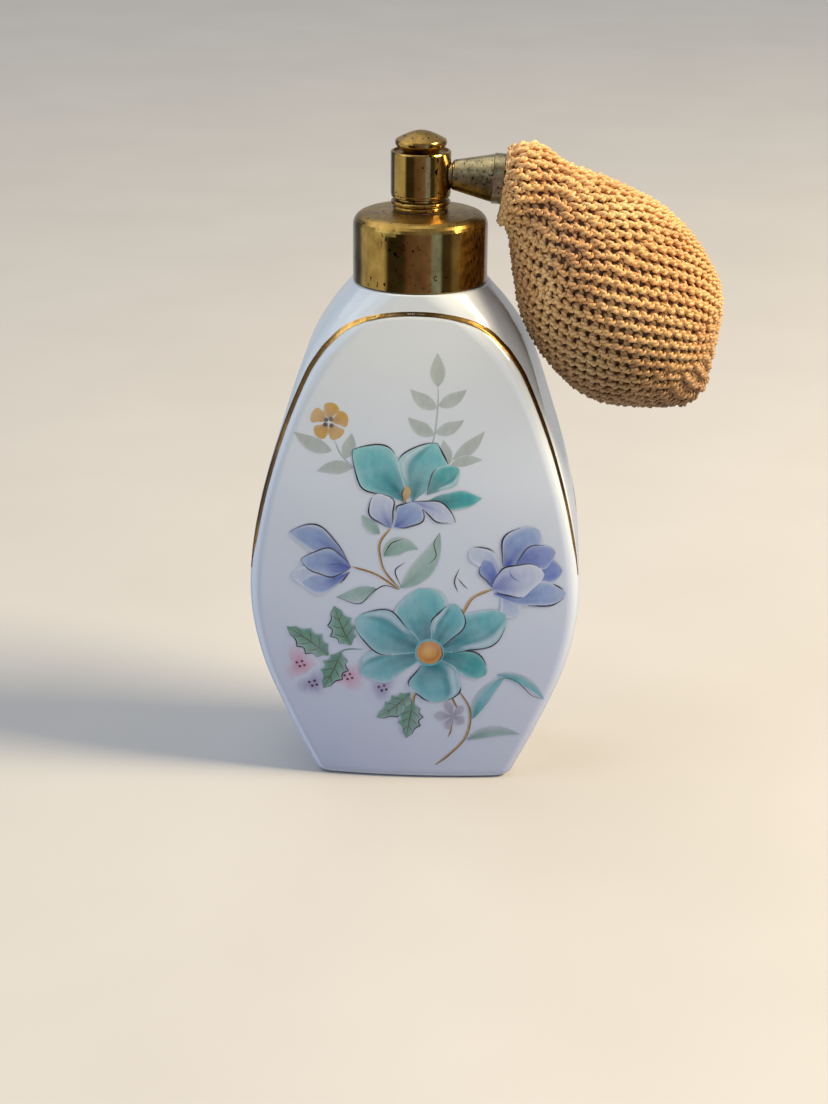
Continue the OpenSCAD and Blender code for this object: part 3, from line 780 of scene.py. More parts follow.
def petal(base, tip, width, tints, bend=0.0, belly=0.62, blunt=0.62, fold=0, lines=(), soft=0.12):
    """A shaded petal: dark at its root, paler at its rim, with a turned edge where fold is 1 or -1."""
    root, body, rim = tints
    line, side, half = blade_sides(base, tip, width, bend, belly, blunt, 30)
    s = np.linspace(-1, 1, 17)
    t = np.linspace(0, 1, 30)[:, None]
    phase = 2.1 * len(PRINT)
    wave = {edge: 1 + 0.12 * np.sin(8.5 * t[:, 0] + phase + edge) * smooth_step(0.1, 0.4, t[:, 0])
            for edge in (-1, 1)}
    reach = half[:, None] * np.where(s < 0, wave[-1][:, None], wave[1][:, None])
    x, z = ribbon(line, side, reach, s)
    shade = smooth_step(0.72, 0.05, t) * (0.35 + 0.65 * np.exp(-(s / 0.5) ** 2))
    streaks = 0.5 + 0.5 * np.sin(9 * s + 1.3 * np.sin(4 * t + phase) + phase)
    tint = body
    for over, share in (
            (root, np.clip(shade, 0, 1)), (root, 0.34 * streaks * smooth_step(1.0, 0.1, t)),
            (rim, 0.7 * smooth_step(0.5, 1.0, np.abs(s)) * smooth_step(0.1, 0.6, t)),
            (rim, 0.5 * smooth_step(0.75, 1.0, t) + 0 * s)):
        tint = blend_tint(tint, over, share)
    if fold:
        for at, wide, from_t, to_t, last, over, share in (
                (0.72, 0.13, 0.2, 0.4, 0.98, GLAZE_WHITE, 0.7), (0.45, 0.12, 0.2, 0.5, 1, root, 0.5)):
            crease = np.exp(-((s - at * fold) / wide) ** 2)
            crease = crease * smooth_step(from_t, to_t, t) * smooth_step(last, 0.8, t)
            tint = blend_tint(tint, over, share * crease)
    if soft:
        tint = blend_tint(tint, GLAZE_WHITE, 0.7 * smooth_step(1 - soft, 1.0, np.abs(s)) + 0 * t)
    lay(x, z, tint)
    for edge, start, end in lines:
        a, b = int(start * 29), int(end * 29) + 1
        rim_line = line + side * (half * wave[edge])[:, None] * edge * 0.97
        stroke(rim_line[a:b], 0.3, INK)


def leaf(base, tip, width, tints, bend=0.0, veins=False, notch=0.0):
    """A leaf with a fading edge; veins adds a midrib and side veins, and notch cuts its edge."""
    root, body, rim = tints
    count = 64
    line, side, half = blade_sides(base, tip, width, bend, 0.42, 0.95, count)
    t = np.linspace(0, 1, count)[:, None]
    half = half * (1 - notch * np.abs(np.sin(4.5 * math.pi * t[:, 0] ** 0.8)))
    s = np.linspace(-1, 1, 13)
    x, z = ribbon(line, side, half, s)
    tint = blend_tint(body, root, 0.6 * smooth_step(0.5, 0.0, t) * (1 - np.abs(s)))
    tint = blend_tint(tint, rim, 0.6 * smooth_step(0.0, 1.0, s) + 0 * t)
    tint = blend_tint(tint, GLAZE_WHITE, 0.7 * smooth_step(0.8, 1.0, np.abs(s)) + 0 * t)
    lay(x, z, tint)
    if veins:
        stroke(line[3:-6], 0.22, OLIVE_INK)
        for k in (14, 27, 40):
            for way in (-1, 1):
                end = line[k + 10] + side[k + 10] * half[k + 10] * 0.7 * way
                stroke([line[k], (line[k] + end) / 2 + side[k] * 0.12 * way, end], 0.16, OLIVE_INK)
        stroke((line + side * half[:, None] * 0.97)[6:-2], 0.24, INK)


def stem(points, width=0.42):
    """A gold stem with a dark edge."""
    for offset, thick, tint in ((0.0, width, GOLD_PRINT[1]), (0.16, 0.16, OLIVE_INK)):
        stroke([(x + offset, z - offset * 0.4) for x, z in points], thick, tint, 0.15)


def spot(x, z, radius, tint, soft=0.0, rim=GLAZE_WHITE, uneven=0.0):
    """A spot; soft is the share of its radius that fades into the rim's colour."""
    turn = np.linspace(0, 2 * math.pi, 25)[:, None]
    reach = np.linspace(0.02, 1, 9)[None, :]
    fade = smooth_step(1 - soft, 1.0, reach) if soft else 0 * reach
    tints = blend_tint(tint, rim, fade + 0 * turn)
    out = radius * reach * (1 + uneven * np.sin(3 * turn + x) + uneven * np.sin(2 * turn + z))
    lay(x + out * np.cos(turn), z + out * np.sin(turn), tints)


def grey_sprig():
    """Pale leaves in pairs up the middle of the arch, and beside the small gold flower."""
    stroke([(3.4, 80), (3.4, 75.6), (2.8, 69.8), (1.8, 67.4)], 0.3, GREY_LEAF[0])
    stroke([(6.6, 65.9), (5.4, 64.4), (4.2, 63.2)], 0.3, GREY_LEAF[0])
    stroke([(-16.3, 69.8), (-14.8, 66.4), (-12.4, 64)], 0.3, GREY_LEAF[0])
    for base, tip, width, bend in (
            ((3.4, 79.4), (3.2, 85.8), 2.9, 0.0), ((3.3, 75.3), (-1.8, 79.0), 2.8, 0.12),
            ((3.5, 75.8), (8.8, 78.8), 2.7, -0.12), ((2.8, 70.2), (-2.2, 73.6), 2.8, 0.12),
            ((3.0, 70.6), (8.4, 73.0), 2.6, -0.12), ((6.4, 65.4), (12.3, 70.8), 2.7, -0.1),
            ((5.7, 64.6), (4.5, 69.2), 2.4, 0.05), ((6.1, 64.4), (12.0, 65.2), 2.2, 0.12),
            ((-16.6, 67.2), (-23.8, 70.8), 3.0, 0.12), ((-14.2, 65.7), (-12.8, 70.6), 2.7, -0.1),
            ((-12.6, 63.9), (-19.5, 63.2), 2.8, -0.12)):
        leaf(base, tip, width, GREY_LEAF, bend)


def gold_flower(x, z):
    """Five blunt gold petals round four dark dots."""
    for degrees in (82, 152, 12, 232, 300):
        way = np.array([math.cos(math.radians(degrees)), math.sin(math.radians(degrees))])
        petal((x, z) + 0.3 * way, (x, z) + 3.7 * way, 3.0, GOLD_PRINT, belly=0.7, blunt=0.5, soft=0)
    for dx, dz in ((-0.55, 0.35), (0.35, 0.5), (-0.75, -0.55), (0.45, -0.75)):
        spot(x + dx, z + dz, 0.42, srgb(66, 36, 22))


def upper_flower():
    """A teal and blue flower seen from the side."""
    petal((-1.2, 57.0), (3.4, 68.6), 9.4, TEAL, bend=0.1, belly=0.6, blunt=0.85,
          lines=((1, 0.55, 1.0), (-1, 0.8, 1.0)), fold=1)
    petal((-2.2, 56.6), (-12.6, 67.4), 8.8, TEAL, bend=-0.1, belly=0.62, blunt=0.85,
          lines=((1, 0.2, 1.0), (-1, 0.6, 1.0)))
    petal((1.6, 58.6), (7.6, 63.6), 4.6, DEEP_TEAL, bend=0.1, fold=-1, lines=((1, 0.05, 0.6),))
    petal((1.8, 57.4), (12.0, 57.8), 4.0, DEEP_TEAL, bend=-0.05, belly=0.5, blunt=0.9)
    petal((-1.6, 57.3), (7.0, 53.0), 3.6, PALE_BLUE, bend=0.12, blunt=0.9,
          lines=((1, 0.05, 1.0), (-1, 0.3, 0.9)))
    petal((-4.6, 52.2), (-0.4, 57.0), 5.4, BLUE, bend=-0.15, lines=((-1, 0.1, 0.9), (1, 0.4, 0.95)))
    petal((-5.2, 52.0), (-7.9, 58.9), 5.0, PALE_BLUE, bend=0.08, lines=((1, 0.05, 0.95), (-1, 0.1, 0.8)))
    petal((-2.9, 57.0), (-2.3, 60.4), 1.5, GOLD_PRINT, bend=-0.1, soft=0, lines=((1, 0.1, 0.9),))


def tulip():
    """A drooping blue bud on the left."""
    petal((-13.6, 43.0), (-24.4, 42.4), 4.4, FAINT_BLUE, bend=0.1, soft=0.5)
    petal((-13.3, 44.8), (-24.8, 51.0), 5.2, BLUE, bend=-0.2, blunt=0.9, lines=((-1, 0.05, 1.0),), soft=0.3)
    petal((-13.2, 43.0), (-22.4, 40.8), 4.6, BLUE, bend=0.2, blunt=0.8, lines=((1, 0.0, 0.3),), soft=0.4)
    petal((-13.0, 43.9), (-22.6, 45.4), 5.8, BLUE, bend=-0.03, belly=0.5, blunt=0.8,
          lines=((1, 0.0, 1.0), (-1, 0.0, 1.0)))
    stroke([(-13.2, 44.0), (-15.4, 44.6), (-17.6, 44.4)], 0.18, DEEP_BLUE[0])
    stroke([(-13.2, 43.8), (-15.0, 43.1), (-16.6, 43.2)], 0.16, DEEP_BLUE[0])


def blue_flower():
    """An open blue flower on the right."""
    petal((16.4, 38.4), (18.9, 33.4), 4.4, FAINT_BLUE, soft=0.5)
    petal((15.8, 42.6), (9.8, 47.4), 4.2, FAINT_BLUE, bend=-0.1, soft=0.4, lines=((-1, 0.5, 0.95),))
    petal((16.6, 43.0), (22.9, 51.2), 7.4, BLUE, bend=0.12, lines=((1, 0.1, 0.8),), soft=0.2)
    petal((18.6, 42.2), (27.6, 42.8), 5.4, DEEP_BLUE, bend=0.05, soft=0.2)
    petal((18.4, 43.4), (26.2, 46.6), 5.0, DEEP_BLUE, bend=0.12, lines=((1, 0.1, 0.8),))
    petal((14.6, 38.4), (28.4, 38.2), 5.2, BLUE, bend=-0.05, soft=0.2,
          lines=((-1, 0.5, 0.97), (1, 0.85, 0.97)))
    petal((14.8, 39.2), (12.4, 45.2), 3.4, DEEP_BLUE, bend=-0.1, lines=((1, 0.1, 0.9),))
    petal((14.4, 39.4), (24.2, 42.2), 6.8, PALE_BLUE, bend=0.08, belly=0.5,
          lines=((1, 0.05, 0.95), (-1, 0.05, 0.5)), soft=0)
    stroke([(17.4, 43.0), (18.2, 41.6), (19.6, 40.8)], 0.2, BLUE[0])


def big_flower(x, z):
    """The large teal flower: back petals, then front ones, then its amber middle."""
    for tip, width, bend, fold, tints, lines in (
            ((11.0, -5.0), 5.4, 0.14, 0, DEEP_TEAL, ((1, 0.3, 0.9),)),
            ((1.8, -10.8), 10.4, 0.05, 1, TEAL, ((-1, 0.15, 0.6), (-1, 0.75, 0.97), (1, 0.75, 0.97))),
            ((-13.4, -4.4), 7.4, -0.08, -1, TEAL, ()),
            ((14.6, 7.9), 8.0, -0.05, -1, TEAL, ((-1, 0.2, 0.9),)),
            ((-2.2, 13.4), 10.2, -0.04, 0, TEAL, ()),
            ((-14.2, 7.2), 8.6, 0.03, -1, TEAL, ((1, 0.35, 0.97), (-1, 0.3, 0.97))),
            ((4.8, 10.2), 6.0, -0.12, 1, TEAL, ((-1, 0.1, 0.95), (1, 0.4, 0.95)))):
        way = np.array(tip)
        petal((x, z) + 0.09 * way, (x, z) + way, width, tints, bend, 0.6, 0.55, fold, lines)
    spot(x, z, 2.9, DEEP_TEAL[0], 0.4, TEAL[1])
    spot(x, z, 2.45, AMBER[0], 0.6, AMBER[1])
    spot(x - 0.2, z + 0.3, 1.7, AMBER[2], 0.95, AMBER[1])
    stroke([(x + 2.2, z + 1.2), (x + 2.5, z - 0.6), (x + 1.5, z - 2.2)], 0.2, INK)


def leaves_and_stems():
    """Everything green and gold between the flowers."""
    leaf((-7.4, 50.8), (-10.8, 54.6), 2.4, SAGE, 0.1)
    leaf((-6.6, 46.2), (0.0, 47.6), 3.8, SAGE, 0.45)
    stroke([(-6.6, 46.4), (-5.2, 48.8), (-2.8, 49.8)], 0.2, INK)
    leaf((-3.4, 39.8), (4.1, 51.0), 4.2, SAGE, -0.22)
    stroke([(-3.2, 39.8), (-4.4, 43.2), (-2.6, 44.9)], 0.2, INK)
    stroke([(4.1, 51.0), (3.0, 48.8), (3.4, 46.2), (2.0, 44.6)], 0.2, INK)
    leaf((-8.0, 39.6), (-15.8, 37.8), 3.2, SAGE, 0.12)
    stroke([(-3.8, 39.4), (-6.4, 40.2), (-8.8, 38.8), (-11.4, 36.4), (-15.6, 37.8)], 0.2, INK)
    stem([(-5.4, 52.0), (-7.4, 48.9), (-7.2, 45.4), (-6.2, 42.8), (-3.6, 39.6)])
    stem([(-12.8, 44.1), (-8.1, 42.5), (-3.7, 39.4)])
    stem([(14.2, 39.3), (10.6, 37.6), (8.6, 34.2)], 0.6)
    stem([(0.8, 18.0), (-0.6, 16.8), (-0.9, 14.4)])
    stem([(7.9, 18.2), (10.3, 13.4), (9.6, 7.8), (6.4, 3.8), (3.6, 1.4)], 0.4)
    stem([(6.2, 17.4), (7.7, 14.2)])
    stroke([(7.9, 43.6), (7.0, 41.0), (7.7, 38.8)], 0.24, INK)
    stroke([(7.6, 41.8), (8.6, 40.4), (9.6, 39.4)], 0.18, INK)
    stroke([(-10.6, 26.8), (-14.2, 26.6), (-17.0, 24.4)], 0.26, SAGE[0])
    for base, tip, width, bend in (
            ((-13.0, 27.6), (-16.2, 36.0), 6.0, 0.05), ((-17.4, 25.4), (-25.6, 31.4), 5.8, -0.05),
            ((-15.0, 26.2), (-18.6, 18.2), 5.8, 0.06), ((-1.4, 17.4), (-8.1, 12.0), 5.0, 0.1),
            ((-0.9, 15.4), (-2.2, 7.4), 5.4, 0.0)):
        leaf(base, tip, width, LEAF_GREEN, bend, veins=True, notch=0.3)
    leaf((10.9, 11.6), (17.6, 21.2), 2.8, (DEEP_TEAL[0], TEAL[1], SAGE[2]), 0.18)
    leaf((15.4, 21.2), (24.8, 15.4), 1.9, (SAGE[0], TEAL[1], SAGE[2]), 0.26)
    stroke([(14.2, 18.2), (16.6, 20.4), (19.4, 19.6), (22.2, 16.6), (24.6, 15.6)], 0.16, OLIVE_INK)
    leaf((9.8, 7.0), (20.2, 7.8), 2.2, (SAGE[0], SAGE[1], MIST[2]), 0.24)


def blossoms():
    """Soft pink and lilac clusters with dark seeds, and a faint grey flower."""
    for x, z, radius, tint in ((-23.0, 23.4, 3.6, PINK), (-13.6, 20.8, 3.4, PINK),
                               (-20.6, 19.2, 3.0, LILAC), (-6.9, 18.4, 2.8, LILAC)):
        spot(x, z, radius * 1.2, tint, 1.0, uneven=0.16)
        for dx, dz in ((-0.7, 0.3), (0.35, 0.6), (0.8, -0.25), (-0.1, -0.5)):
            spot(x + dx, z + dz, 0.28, srgb(96, 48, 58))
    for tip in ((3.2, 12.4), (5.6, 15.6), (9.0, 14.4), (9.2, 10.6), (5.8, 9.4)):
        petal((7.0, 12.3), tip, 2.2, MIST, soft=0.4)
    stroke([(6.8, 10.6), (6.6, 9.0), (6.1, 7.6)], 0.3, GOLD_PRINT[0])


def floral_print():
    """The whole spray, laid down from back to front as one thin layer of enamel."""
    grey_sprig()
    gold_flower(-17.1, 72.8)
    blossoms()
    leaves_and_stems()
    upper_flower()
    tulip()
    blue_flower()
    big_flower(2.3, 26.2)
    points, faces, tints = joined(PRINT)
    piece = make_piece("floral_print", points, faces, ENAMEL, tints)
    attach(piece, "bottle")


floral_print()

# ---------------------------------------------------------------- crocheted bulb

def spine_point(t):
    """A point of the bulb's centre line and the line's direction there."""
    t = np.asarray(t, float)[..., None]
    u = np.maximum(t, 0)
    p0, p1, p2, p3 = SPINE
    point = ((1 - u) ** 3 * p0 + 3 * (1 - u) ** 2 * u * p1 + 3 * (1 - u) * u ** 2 * p2 + u ** 3 * p3)
    way = unit((1 - u) ** 2 * (p1 - p0) + 2 * (1 - u) * u * (p2 - p1) + u ** 2 * (p3 - p2))
    return point + np.minimum(t, 0) * SPINE_LENGTH * way, way


def bulb_point(t, angle, radius):
    """A point round the centre line; angle 0 is the upper side."""
    centre, way = spine_point(t)
    up = radius * np.cos(angle)
    return np.stack([centre[..., 0] - way[..., 1] * up, radius * np.sin(angle),
                     centre[..., 1] + way[..., 0] * up], -1)


def cover_radius(t):
    """The cover's outer radius along the centre line."""
    return BULB_R * smooth_curve(BULB_SHAPE, t)


def rubber_radius(t):
    """The rubber's outer radius; before t = 0 it is the sleeve inside the cone."""
    u = np.clip(t / SLEEVE_END, 0, 1)
    inside = cover_radius(np.maximum(t, 0)) - COVER_T - SKIN_GAP
    return np.where(t < 0, SLEEVE_R, SLEEVE_R + (inside - SLEEVE_R) * u * u * (3 - 2 * u))


def rubber_bore(t):
    """The rubber's inner radius."""
    u = np.clip(t / SLEEVE_END, 0, 1)
    return np.where(t < 0, SLEEVE_BORE_R, SLEEVE_BORE_R + (rubber_radius(t) - RUBBER_T - SLEEVE_BORE_R) * u)


def upright(pair):
    """An (x, z) pair in the plane y = 0, as three numbers."""
    return np.array([pair[0], 0, pair[1]])


def bends_at_the_neck(piece):
    """The first part of the bulb, with its placement baked into its mesh."""
    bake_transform(piece)


def squeezes(piece):
    """The belly and tail are attached to the bulb's body, each with a mesh of its own."""
    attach(piece, "bulb")
    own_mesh(piece)


def rubber_part(name, start, end, tucked):
    """One length of the rubber bulb, with its wall and its two ends."""
    t = np.linspace(start, end, 40)
    angle = np.linspace(0, 2 * math.pi, 72, endpoint=False)
    trim = 0.08 * smooth_step(end - 0.03, end, t) if tucked else 0 * t
    outer = bulb_point(t[:, None], angle[None, :], (rubber_radius(t) - trim)[:, None])
    inner = bulb_point(t[::-1, None], angle[None, :], (rubber_bore(t) - trim)[::-1, None])
    rows = np.concatenate([outer, inner])
    faces = grid_faces(len(rows), len(angle), around=True, ends_meet=True).tolist()
    piece = make_piece(name, rows, faces, BULB_RUBBER)
    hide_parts("rubber_bulb")
    return piece


def round_places():
    """The cover's rounds: where each lies along the centre line, and its stitches' angles."""
    fine = np.linspace(0, 1, 600)
    centre = spine_point(fine)[0]
    run = np.linalg.norm(np.diff(centre, axis=0), axis=1)
    slant = np.hypot(run, np.diff(cover_radius(fine)))
    spread = smooth_step(0, 0.35, fine)
    step = ROUND_STEP[0] + (ROUND_STEP[1] - ROUND_STEP[0]) * spread
    tally = np.concatenate([[0], np.cumsum(slant / step[1:])])
    count = int(round(tally[-1]))
    places = np.interp(np.arange(count + 1) * tally[-1] / count, tally, fine)
    rounds, angles = [], None
    for number, t in enumerate(places):
        pitch = STITCH_STEP[0] + (STITCH_STEP[1] - STITCH_STEP[0]) * float(smooth_step(0, 0.35, t))
        wanted = max(7, int(round(2 * math.pi * float(cover_radius(t)) / pitch)))
        if angles is None:
            angles = np.arange(wanted) * 2 * math.pi / wanted
        else:
            angles = next_round(angles, wanted, number)
        rounds.append((float(t), angles))
    return rounds


def next_round(angles, wanted, number):
    """Stitches over those below, with one made or dropped here and there, then evened out."""
    places = angles + stitch_gaps(angles) * LEAN
    while len(places) != wanted:
        k = int(number * 0.381966 * len(places) + 0.5 * len(places) * (wanted % 2)) % len(places)
        number += 1
        if len(places) < wanted:
            after = places[(k + 1) % len(places)] + (2 * math.pi if k + 1 == len(places) else 0)
            places = np.insert(places, k + 1, (places[k] + after) / 2)
        else:
            places = np.delete(places, k)
    for _ in range(14):
        left = np.roll(places, 1)
        left[0] -= 2 * math.pi
        right = np.roll(places, -1)
        right[-1] += 2 * math.pi
        places = places + 0.5 * ((left + right) / 2 - places)
    return places


def closed_spline(points, samples):
    """A smooth closed curve through points, with the same number of samples between each two."""
    u = (np.arange(samples) / samples)[None, :, None]
    a, b = np.roll(points, 1, 0)[:, None], points[:, None]
    c, d = np.roll(points, -1, 0)[:, None], np.roll(points, -2, 0)[:, None]
    curve = 0.5 * (2 * b + (c - a) * u + (2 * a - 5 * b + 4 * c - d) * u ** 2
                   + (3 * b - a - 3 * c + d) * u ** 3)
    return curve.reshape(-1, points.shape[1])


def tube(line, across, lift, radius, sides, ends_meet=False):
    """A round tube along a line, as (points, faces, None)."""
    turn = np.linspace(0, 2 * math.pi, sides, endpoint=False)[None, :, None]
    rim = across[:, None] * np.cos(turn) + lift[:, None] * np.sin(turn)
    return line[:, None] + radius * rim, grid_faces(len(line), sides, True, ends_meet), None


def stitch_gaps(angles):
    """The angle from each stitch to the next one round."""
    return np.diff(np.append(angles, angles[0] + 2 * math.pi))


def twisted_yarn(line, outward, turns):
    """Two plies twisted round a closed line, as (points, faces, None) parts."""
    tangent = unit(np.roll(line, -1, 0) - np.roll(line, 1, 0))
    across = unit(np.cross(tangent, outward))
    lift = np.cross(across, tangent)
    count = len(line)
    twist = 2 * math.pi * turns * np.arange(count) / count
    parts = []
    for ply in (0, math.pi):
        angle = (twist + ply)[:, None]
        core = line + PLY_OFFSET * (across * np.cos(angle) + lift * np.sin(angle))
        parts.append(tube(core, across, lift, PLY_R, 6, True))
    return parts


def crochet_round(t, angles, next_t, wobble):
    """One round of stitches as a single yarn, leaning over the round above it."""
    gaps = stitch_gaps(angles)
    step = next_t - t
    stitch = np.array(STITCH)
    jitter = wobble.normal(0, 1, (len(angles), len(stitch), 3)) * (0.035, 0.05, 0.03)
    stitch = stitch[None] + jitter
    angle = angles[:, None] + stitch[..., 0] * gaps[:, None]
    along = t + stitch[..., 1] * step
    angle, along, height = angle.ravel(), along.ravel(), stitch[..., 2].ravel()
    radius = cover_radius(np.clip(along, 0, 1)) - YARN_DEPTH + height
    place = np.clip(along, *COVER_RANGE)
    points = bulb_point(place, angle, radius)
    axis = spine_point(place)[0]
    centre = np.stack([axis[:, 0], 0 * axis[:, 0], axis[:, 1]], 1)
    both = closed_spline(np.concatenate([points, unit(points - centre)], 1), 2)
    length = np.linalg.norm(np.diff(both[:, :3], axis=0), axis=1).sum()
    return twisted_yarn(both[:, :3], unit(both[:, 3:]), max(1, round(length / PLY_TURN)))


def gathering_ring(t, radius, wobble):
    """A plain turn of yarn that closes an end of the cover."""
    angle = np.linspace(0, 2 * math.pi, 90, endpoint=False)
    wave = 0.12 * np.sin(9 * angle + wobble.uniform(0, 6))
    points = bulb_point(np.full_like(angle, t), angle, radius + wave)
    out = unit(points - bulb_point(np.full_like(angle, t), angle, 0 * angle))
    return twisted_yarn(points, out, round(2 * math.pi * radius / PLY_TURN))


def stray_fibres(wobble):
    """Fine broken filaments that stand off the cover."""
    parts = []
    for _ in range(FIBRES):
        t, angle = wobble.uniform(0.12, 0.98), wobble.uniform(0, 2 * math.pi)
        reach, spread = wobble.uniform(0.5, 1.3), wobble.normal(0, 0.05, 2)
        u = np.linspace(0, 1, 7)
        place = np.clip(t + spread[0] * u, 0, 1)
        height = cover_radius(place) - 0.3 + reach * u * (2 - u) / 1.4
        line = bulb_point(place, angle + spread[1] * 3 * u, height)
        tangent = unit(np.gradient(line, axis=0))
        across = unit(np.cross(tangent, [0.3, 0.9, 0.2]))
        lift = np.cross(across, tangent)
        thick = (0.028 * (1 - 0.7 * u))[:, None, None]
        parts.append(tube(line, across, lift, thick, 3))
    return parts


def drawn_round_valve(points):
    """The tail's yarn lies against the valve's body, and never inside it."""
    end, way = upright(BULB_END), upright(TAIL_WAY)
    along = ((points - end) @ way)[:, None] * way
    outward = points - end - along
    reach = np.linalg.norm(outward, axis=1)[:, None]
    return end + along + outward * np.maximum(1, VALVE_CLEAR / np.maximum(reach, 0.01))


def crochet_cover():
    """The cover in pieces: a neck, an upper belt, a middle belt and a tail, with gathered ends."""
    wobble = np.random.default_rng(7)
    rounds = round_places()
    yarn = {"neck": [], "upper": [], "middle": [], "tail": []}
    for number, (t, angles) in enumerate(rounds):
        last = number == len(rounds) - 1
        next_t = 2 * t - rounds[number - 1][0] if last else rounds[number + 1][0]
        belt = "neck" if t < SEAM else "upper" if t < BELLY else "middle" if t < TAIL_FROM else "tail"
        yarn[belt] += crochet_round(t, angles, next_t, wobble)
    for belt, turns in (("neck", NECK_TURNS), ("tail", TAIL_TURNS)):
        for radius, t in turns:
            yarn[belt] += gathering_ring(t, radius, wobble)
    yarn["middle"] += stray_fibres(wobble)
    for belt, parts in yarn.items():
        points, faces, _ = joined(parts)
        if belt == "tail":
            points = drawn_round_valve(points)
        piece = make_piece("crochet_" + belt, points, faces, YARN)
        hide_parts("net_cover")
        if belt == "neck":
            bends_at_the_neck(piece)
        elif belt == "upper":
            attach(piece, "bulb")
        else:
            squeezes(piece)


bends_at_the_neck(rubber_part("rubber_neck", SLEEVE_FROM, SEAM + 0.03, True))
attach(rubber_part("rubber_shoulder", SEAM - 0.02, BELLY + 0.02, False), "bulb")
squeezes(rubber_part("rubber_belly", BELLY - 0.01, RUBBER_END, True))
crochet_cover()


# ---------------------------------------------------------------- finishes of the CAD nodes

FINISHES = {
    "neck_cement": BISCUIT, "neck_ferrule": PLAIN_BRASS, "neck_gasket": GASKET_RUBBER,
    "head_stem": PLAIN_BRASS, "slip_washer": FIBRE, "bead_ring": AGED_BRASS, "barrel": AGED_BRASS,
    "mixing_block": PLAIN_BRASS, "nozzle_tip": PLAIN_BRASS, "liquid_jet": NICKEL,
    "dip_tube": TUBE_PLASTIC, "bulb_coupling": TARNISHED_BRASS, "bulb_nipple": NICKEL,
    "neck_binding": NICKEL, "needle_packing": FIBRE, "shut_off_needle": NICKEL,
    "closing_knob": AGED_BRASS, "collar_shell": AGED_BRASS, "collar_insert": PLAIN_BRASS,
    "intake_valve": PLAIN_BRASS, "valve_cage": NICKEL, "intake_ball": NICKEL,
}
for node_name, finish in FINISHES.items():
    node_mesh = nodes[node_name].data
    node_mesh.materials.clear()
    node_mesh.materials.append(finish)


# ---------------------------------------------------------------- floor, light and camera

def pale_floor():
    """A large plain floor. Shiny parts reflect the studio round it instead."""
    size = 4000
    corners = [(-size, -size, 0), (size, -size, 0), (size, size, 0), (-size, size, 0)]
    board = mottled("pale_floor", (60, 2), (0.3, (0.50, 0.497, 0.49)), (0.7, (0.525, 0.522, 0.516)), 0.8)
    floor = make_piece("floor", corners, [(0, 1, 2, 3)], board)
    floor.visible_glossy = False


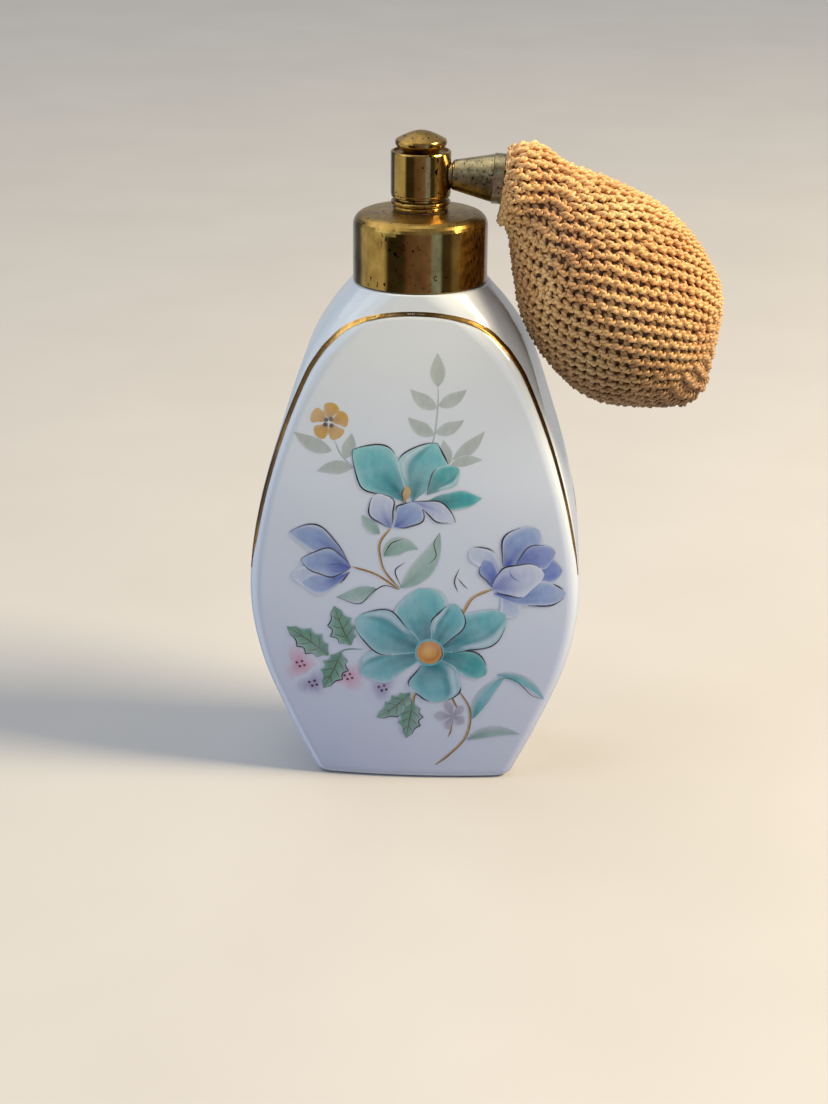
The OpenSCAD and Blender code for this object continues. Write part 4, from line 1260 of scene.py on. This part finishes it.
def studio_world():
    """Soft light by direction. Shiny parts see upright bands of window, wall and shade instead."""
    world = bpy.data.worlds.new("studio")
    world.use_nodes = True
    tree = world.node_tree
    tree.nodes.clear()
    way = axes(tree, add(tree, "TexCoord").outputs["Generated"])
    turned = add(tree, "Math")
    turned.operation = "MULTIPLY"
    turned.inputs[1].default_value = -1
    tree.links.new(way["Y"], turned.inputs[0])
    azimuth = add(tree, "Math")
    azimuth.operation = "ARCTAN2"
    tree.links.new(way["X"], azimuth.inputs[0])
    tree.links.new(turned.outputs[0], azimuth.inputs[1])
    share = share_between(tree, azimuth.outputs[0], -math.pi, math.pi)
    bands = ramp(tree, share, *[((degrees + 180) / 360, colour) for degrees, colour in (
        (-180, (0.55, 0.56, 0.58)), (-150, (0.45, 0.47, 0.5)), (-138, (0.14, 0.17, 0.26)),
        (-122, (0.14, 0.17, 0.26)), (-112, (0.9, 0.92, 0.95)),
        (-62, (1.0, 1.0, 1.0)), (-54, (0.06, 0.06, 0.06)), (-26, (0.08, 0.07, 0.06)),
        (-18, (0.26, 0.18, 0.20)), (6, (0.34, 0.26, 0.34)), (20, (0.46, 0.34, 0.42)),
        (24, (0.5, 0.72, 1.5)), (37, (0.5, 0.72, 1.5)), (41, (0.09, 0.08, 0.07)),
        (55, (0.12, 0.10, 0.08)), (62, (0.42, 0.38, 0.34)), (84, (0.5, 0.46, 0.42)),
        (130, (0.22, 0.18, 0.14)), (148, (0.45, 0.44, 0.43)), (180, (0.55, 0.56, 0.58)))])
    overhead = level(tree, way["Z"], (0.2, 0.0), (0.65, 1.0))
    seen_by_shine = mixed(tree, overhead, bands, (0.40, 0.41, 0.46))
    paths = add(tree, "LightPath")
    soft = ramp(tree, share, (0.0, (0.42, 0.43, 0.45)), (0.25, (0.36, 0.41, 0.48)),
                (0.5, (0.15, 0.17, 0.21)), (0.75, (0.36, 0.34, 0.31)), (1.0, (0.42, 0.43, 0.45)))
    light = mixed(tree, paths.outputs["Is Glossy Ray"], soft, seen_by_shine)
    background = add(tree, "Background")
    background.inputs["Strength"].default_value = 0.9
    tree.links.new(light, background.inputs["Color"])
    output = add(tree, "OutputWorld")
    tree.links.new(background.outputs[0], output.inputs["Surface"])
    bpy.context.scene.world = world


def aim(thing, target):
    """Turns a light or a camera to look at a point in metres."""
    way = [t - p for t, p in zip(target, thing.location)]
    flat = math.hypot(way[0], way[1])
    thing.rotation_euler = (math.atan2(flat, -way[2]), 0, math.atan2(-way[0], way[1]))


def soft_light(name, place, target, size, power, colour):
    """A square area light."""
    lamp = bpy.data.lights.new(name, "AREA")
    lamp.size = size
    lamp.energy = power
    lamp.color = colour
    light = placed(name, lamp)
    light.location = place
    aim(light, target)


def open_sky(strength):
    """Very soft light from straight above, as even near the horizon as under the part."""
    lamp = bpy.data.lights.new("sky", "SUN")
    lamp.angle = math.radians(70)
    lamp.energy = strength
    lamp.color = (1.0, 0.985, 0.96)
    light = placed("sky", lamp)
    light.rotation_euler = (math.radians(-8), math.radians(-26), 0)


def photo_camera():
    """The photograph's view: 20 degrees down from just under half a metre, a little to the right."""
    yaw, pitch, roll, reach = math.radians(3), math.radians(20), math.radians(0.4), 0.4585
    lens = bpy.data.cameras.new("photo_camera")
    lens.lens = 80.1
    lens.sensor_width = 36
    lens.clip_start = 0.01
    camera = placed("photo_camera", lens)
    camera.location = (reach * math.sin(yaw) - 0.0008, -reach * math.cos(yaw), 0.2094)
    turned = mathutils.Euler((math.pi / 2 - pitch, 0, yaw)).to_matrix()
    rolled = mathutils.Matrix.Rotation(roll, 3, "Z")
    camera.rotation_euler = (turned @ rolled).to_euler()
    bpy.context.scene.camera = camera


def film():
    """Plain display colours, so that a colour stated here is the colour seen."""
    bpy.context.scene.view_settings.view_transform = "Standard"


film()
pale_floor()
studio_world()
soft_light("key", (0.90, -0.16, 0.74), (0.02, 0, 0.08), 0.36, 22.0, (1.0, 0.81, 0.54))
soft_light("window", (-0.50, -0.30, 0.34), (0, 0, 0.06), 0.5, 0.8, (0.72, 0.84, 1.0))
open_sky(1.15)
photo_camera()

bpy.context.view_layer.update()
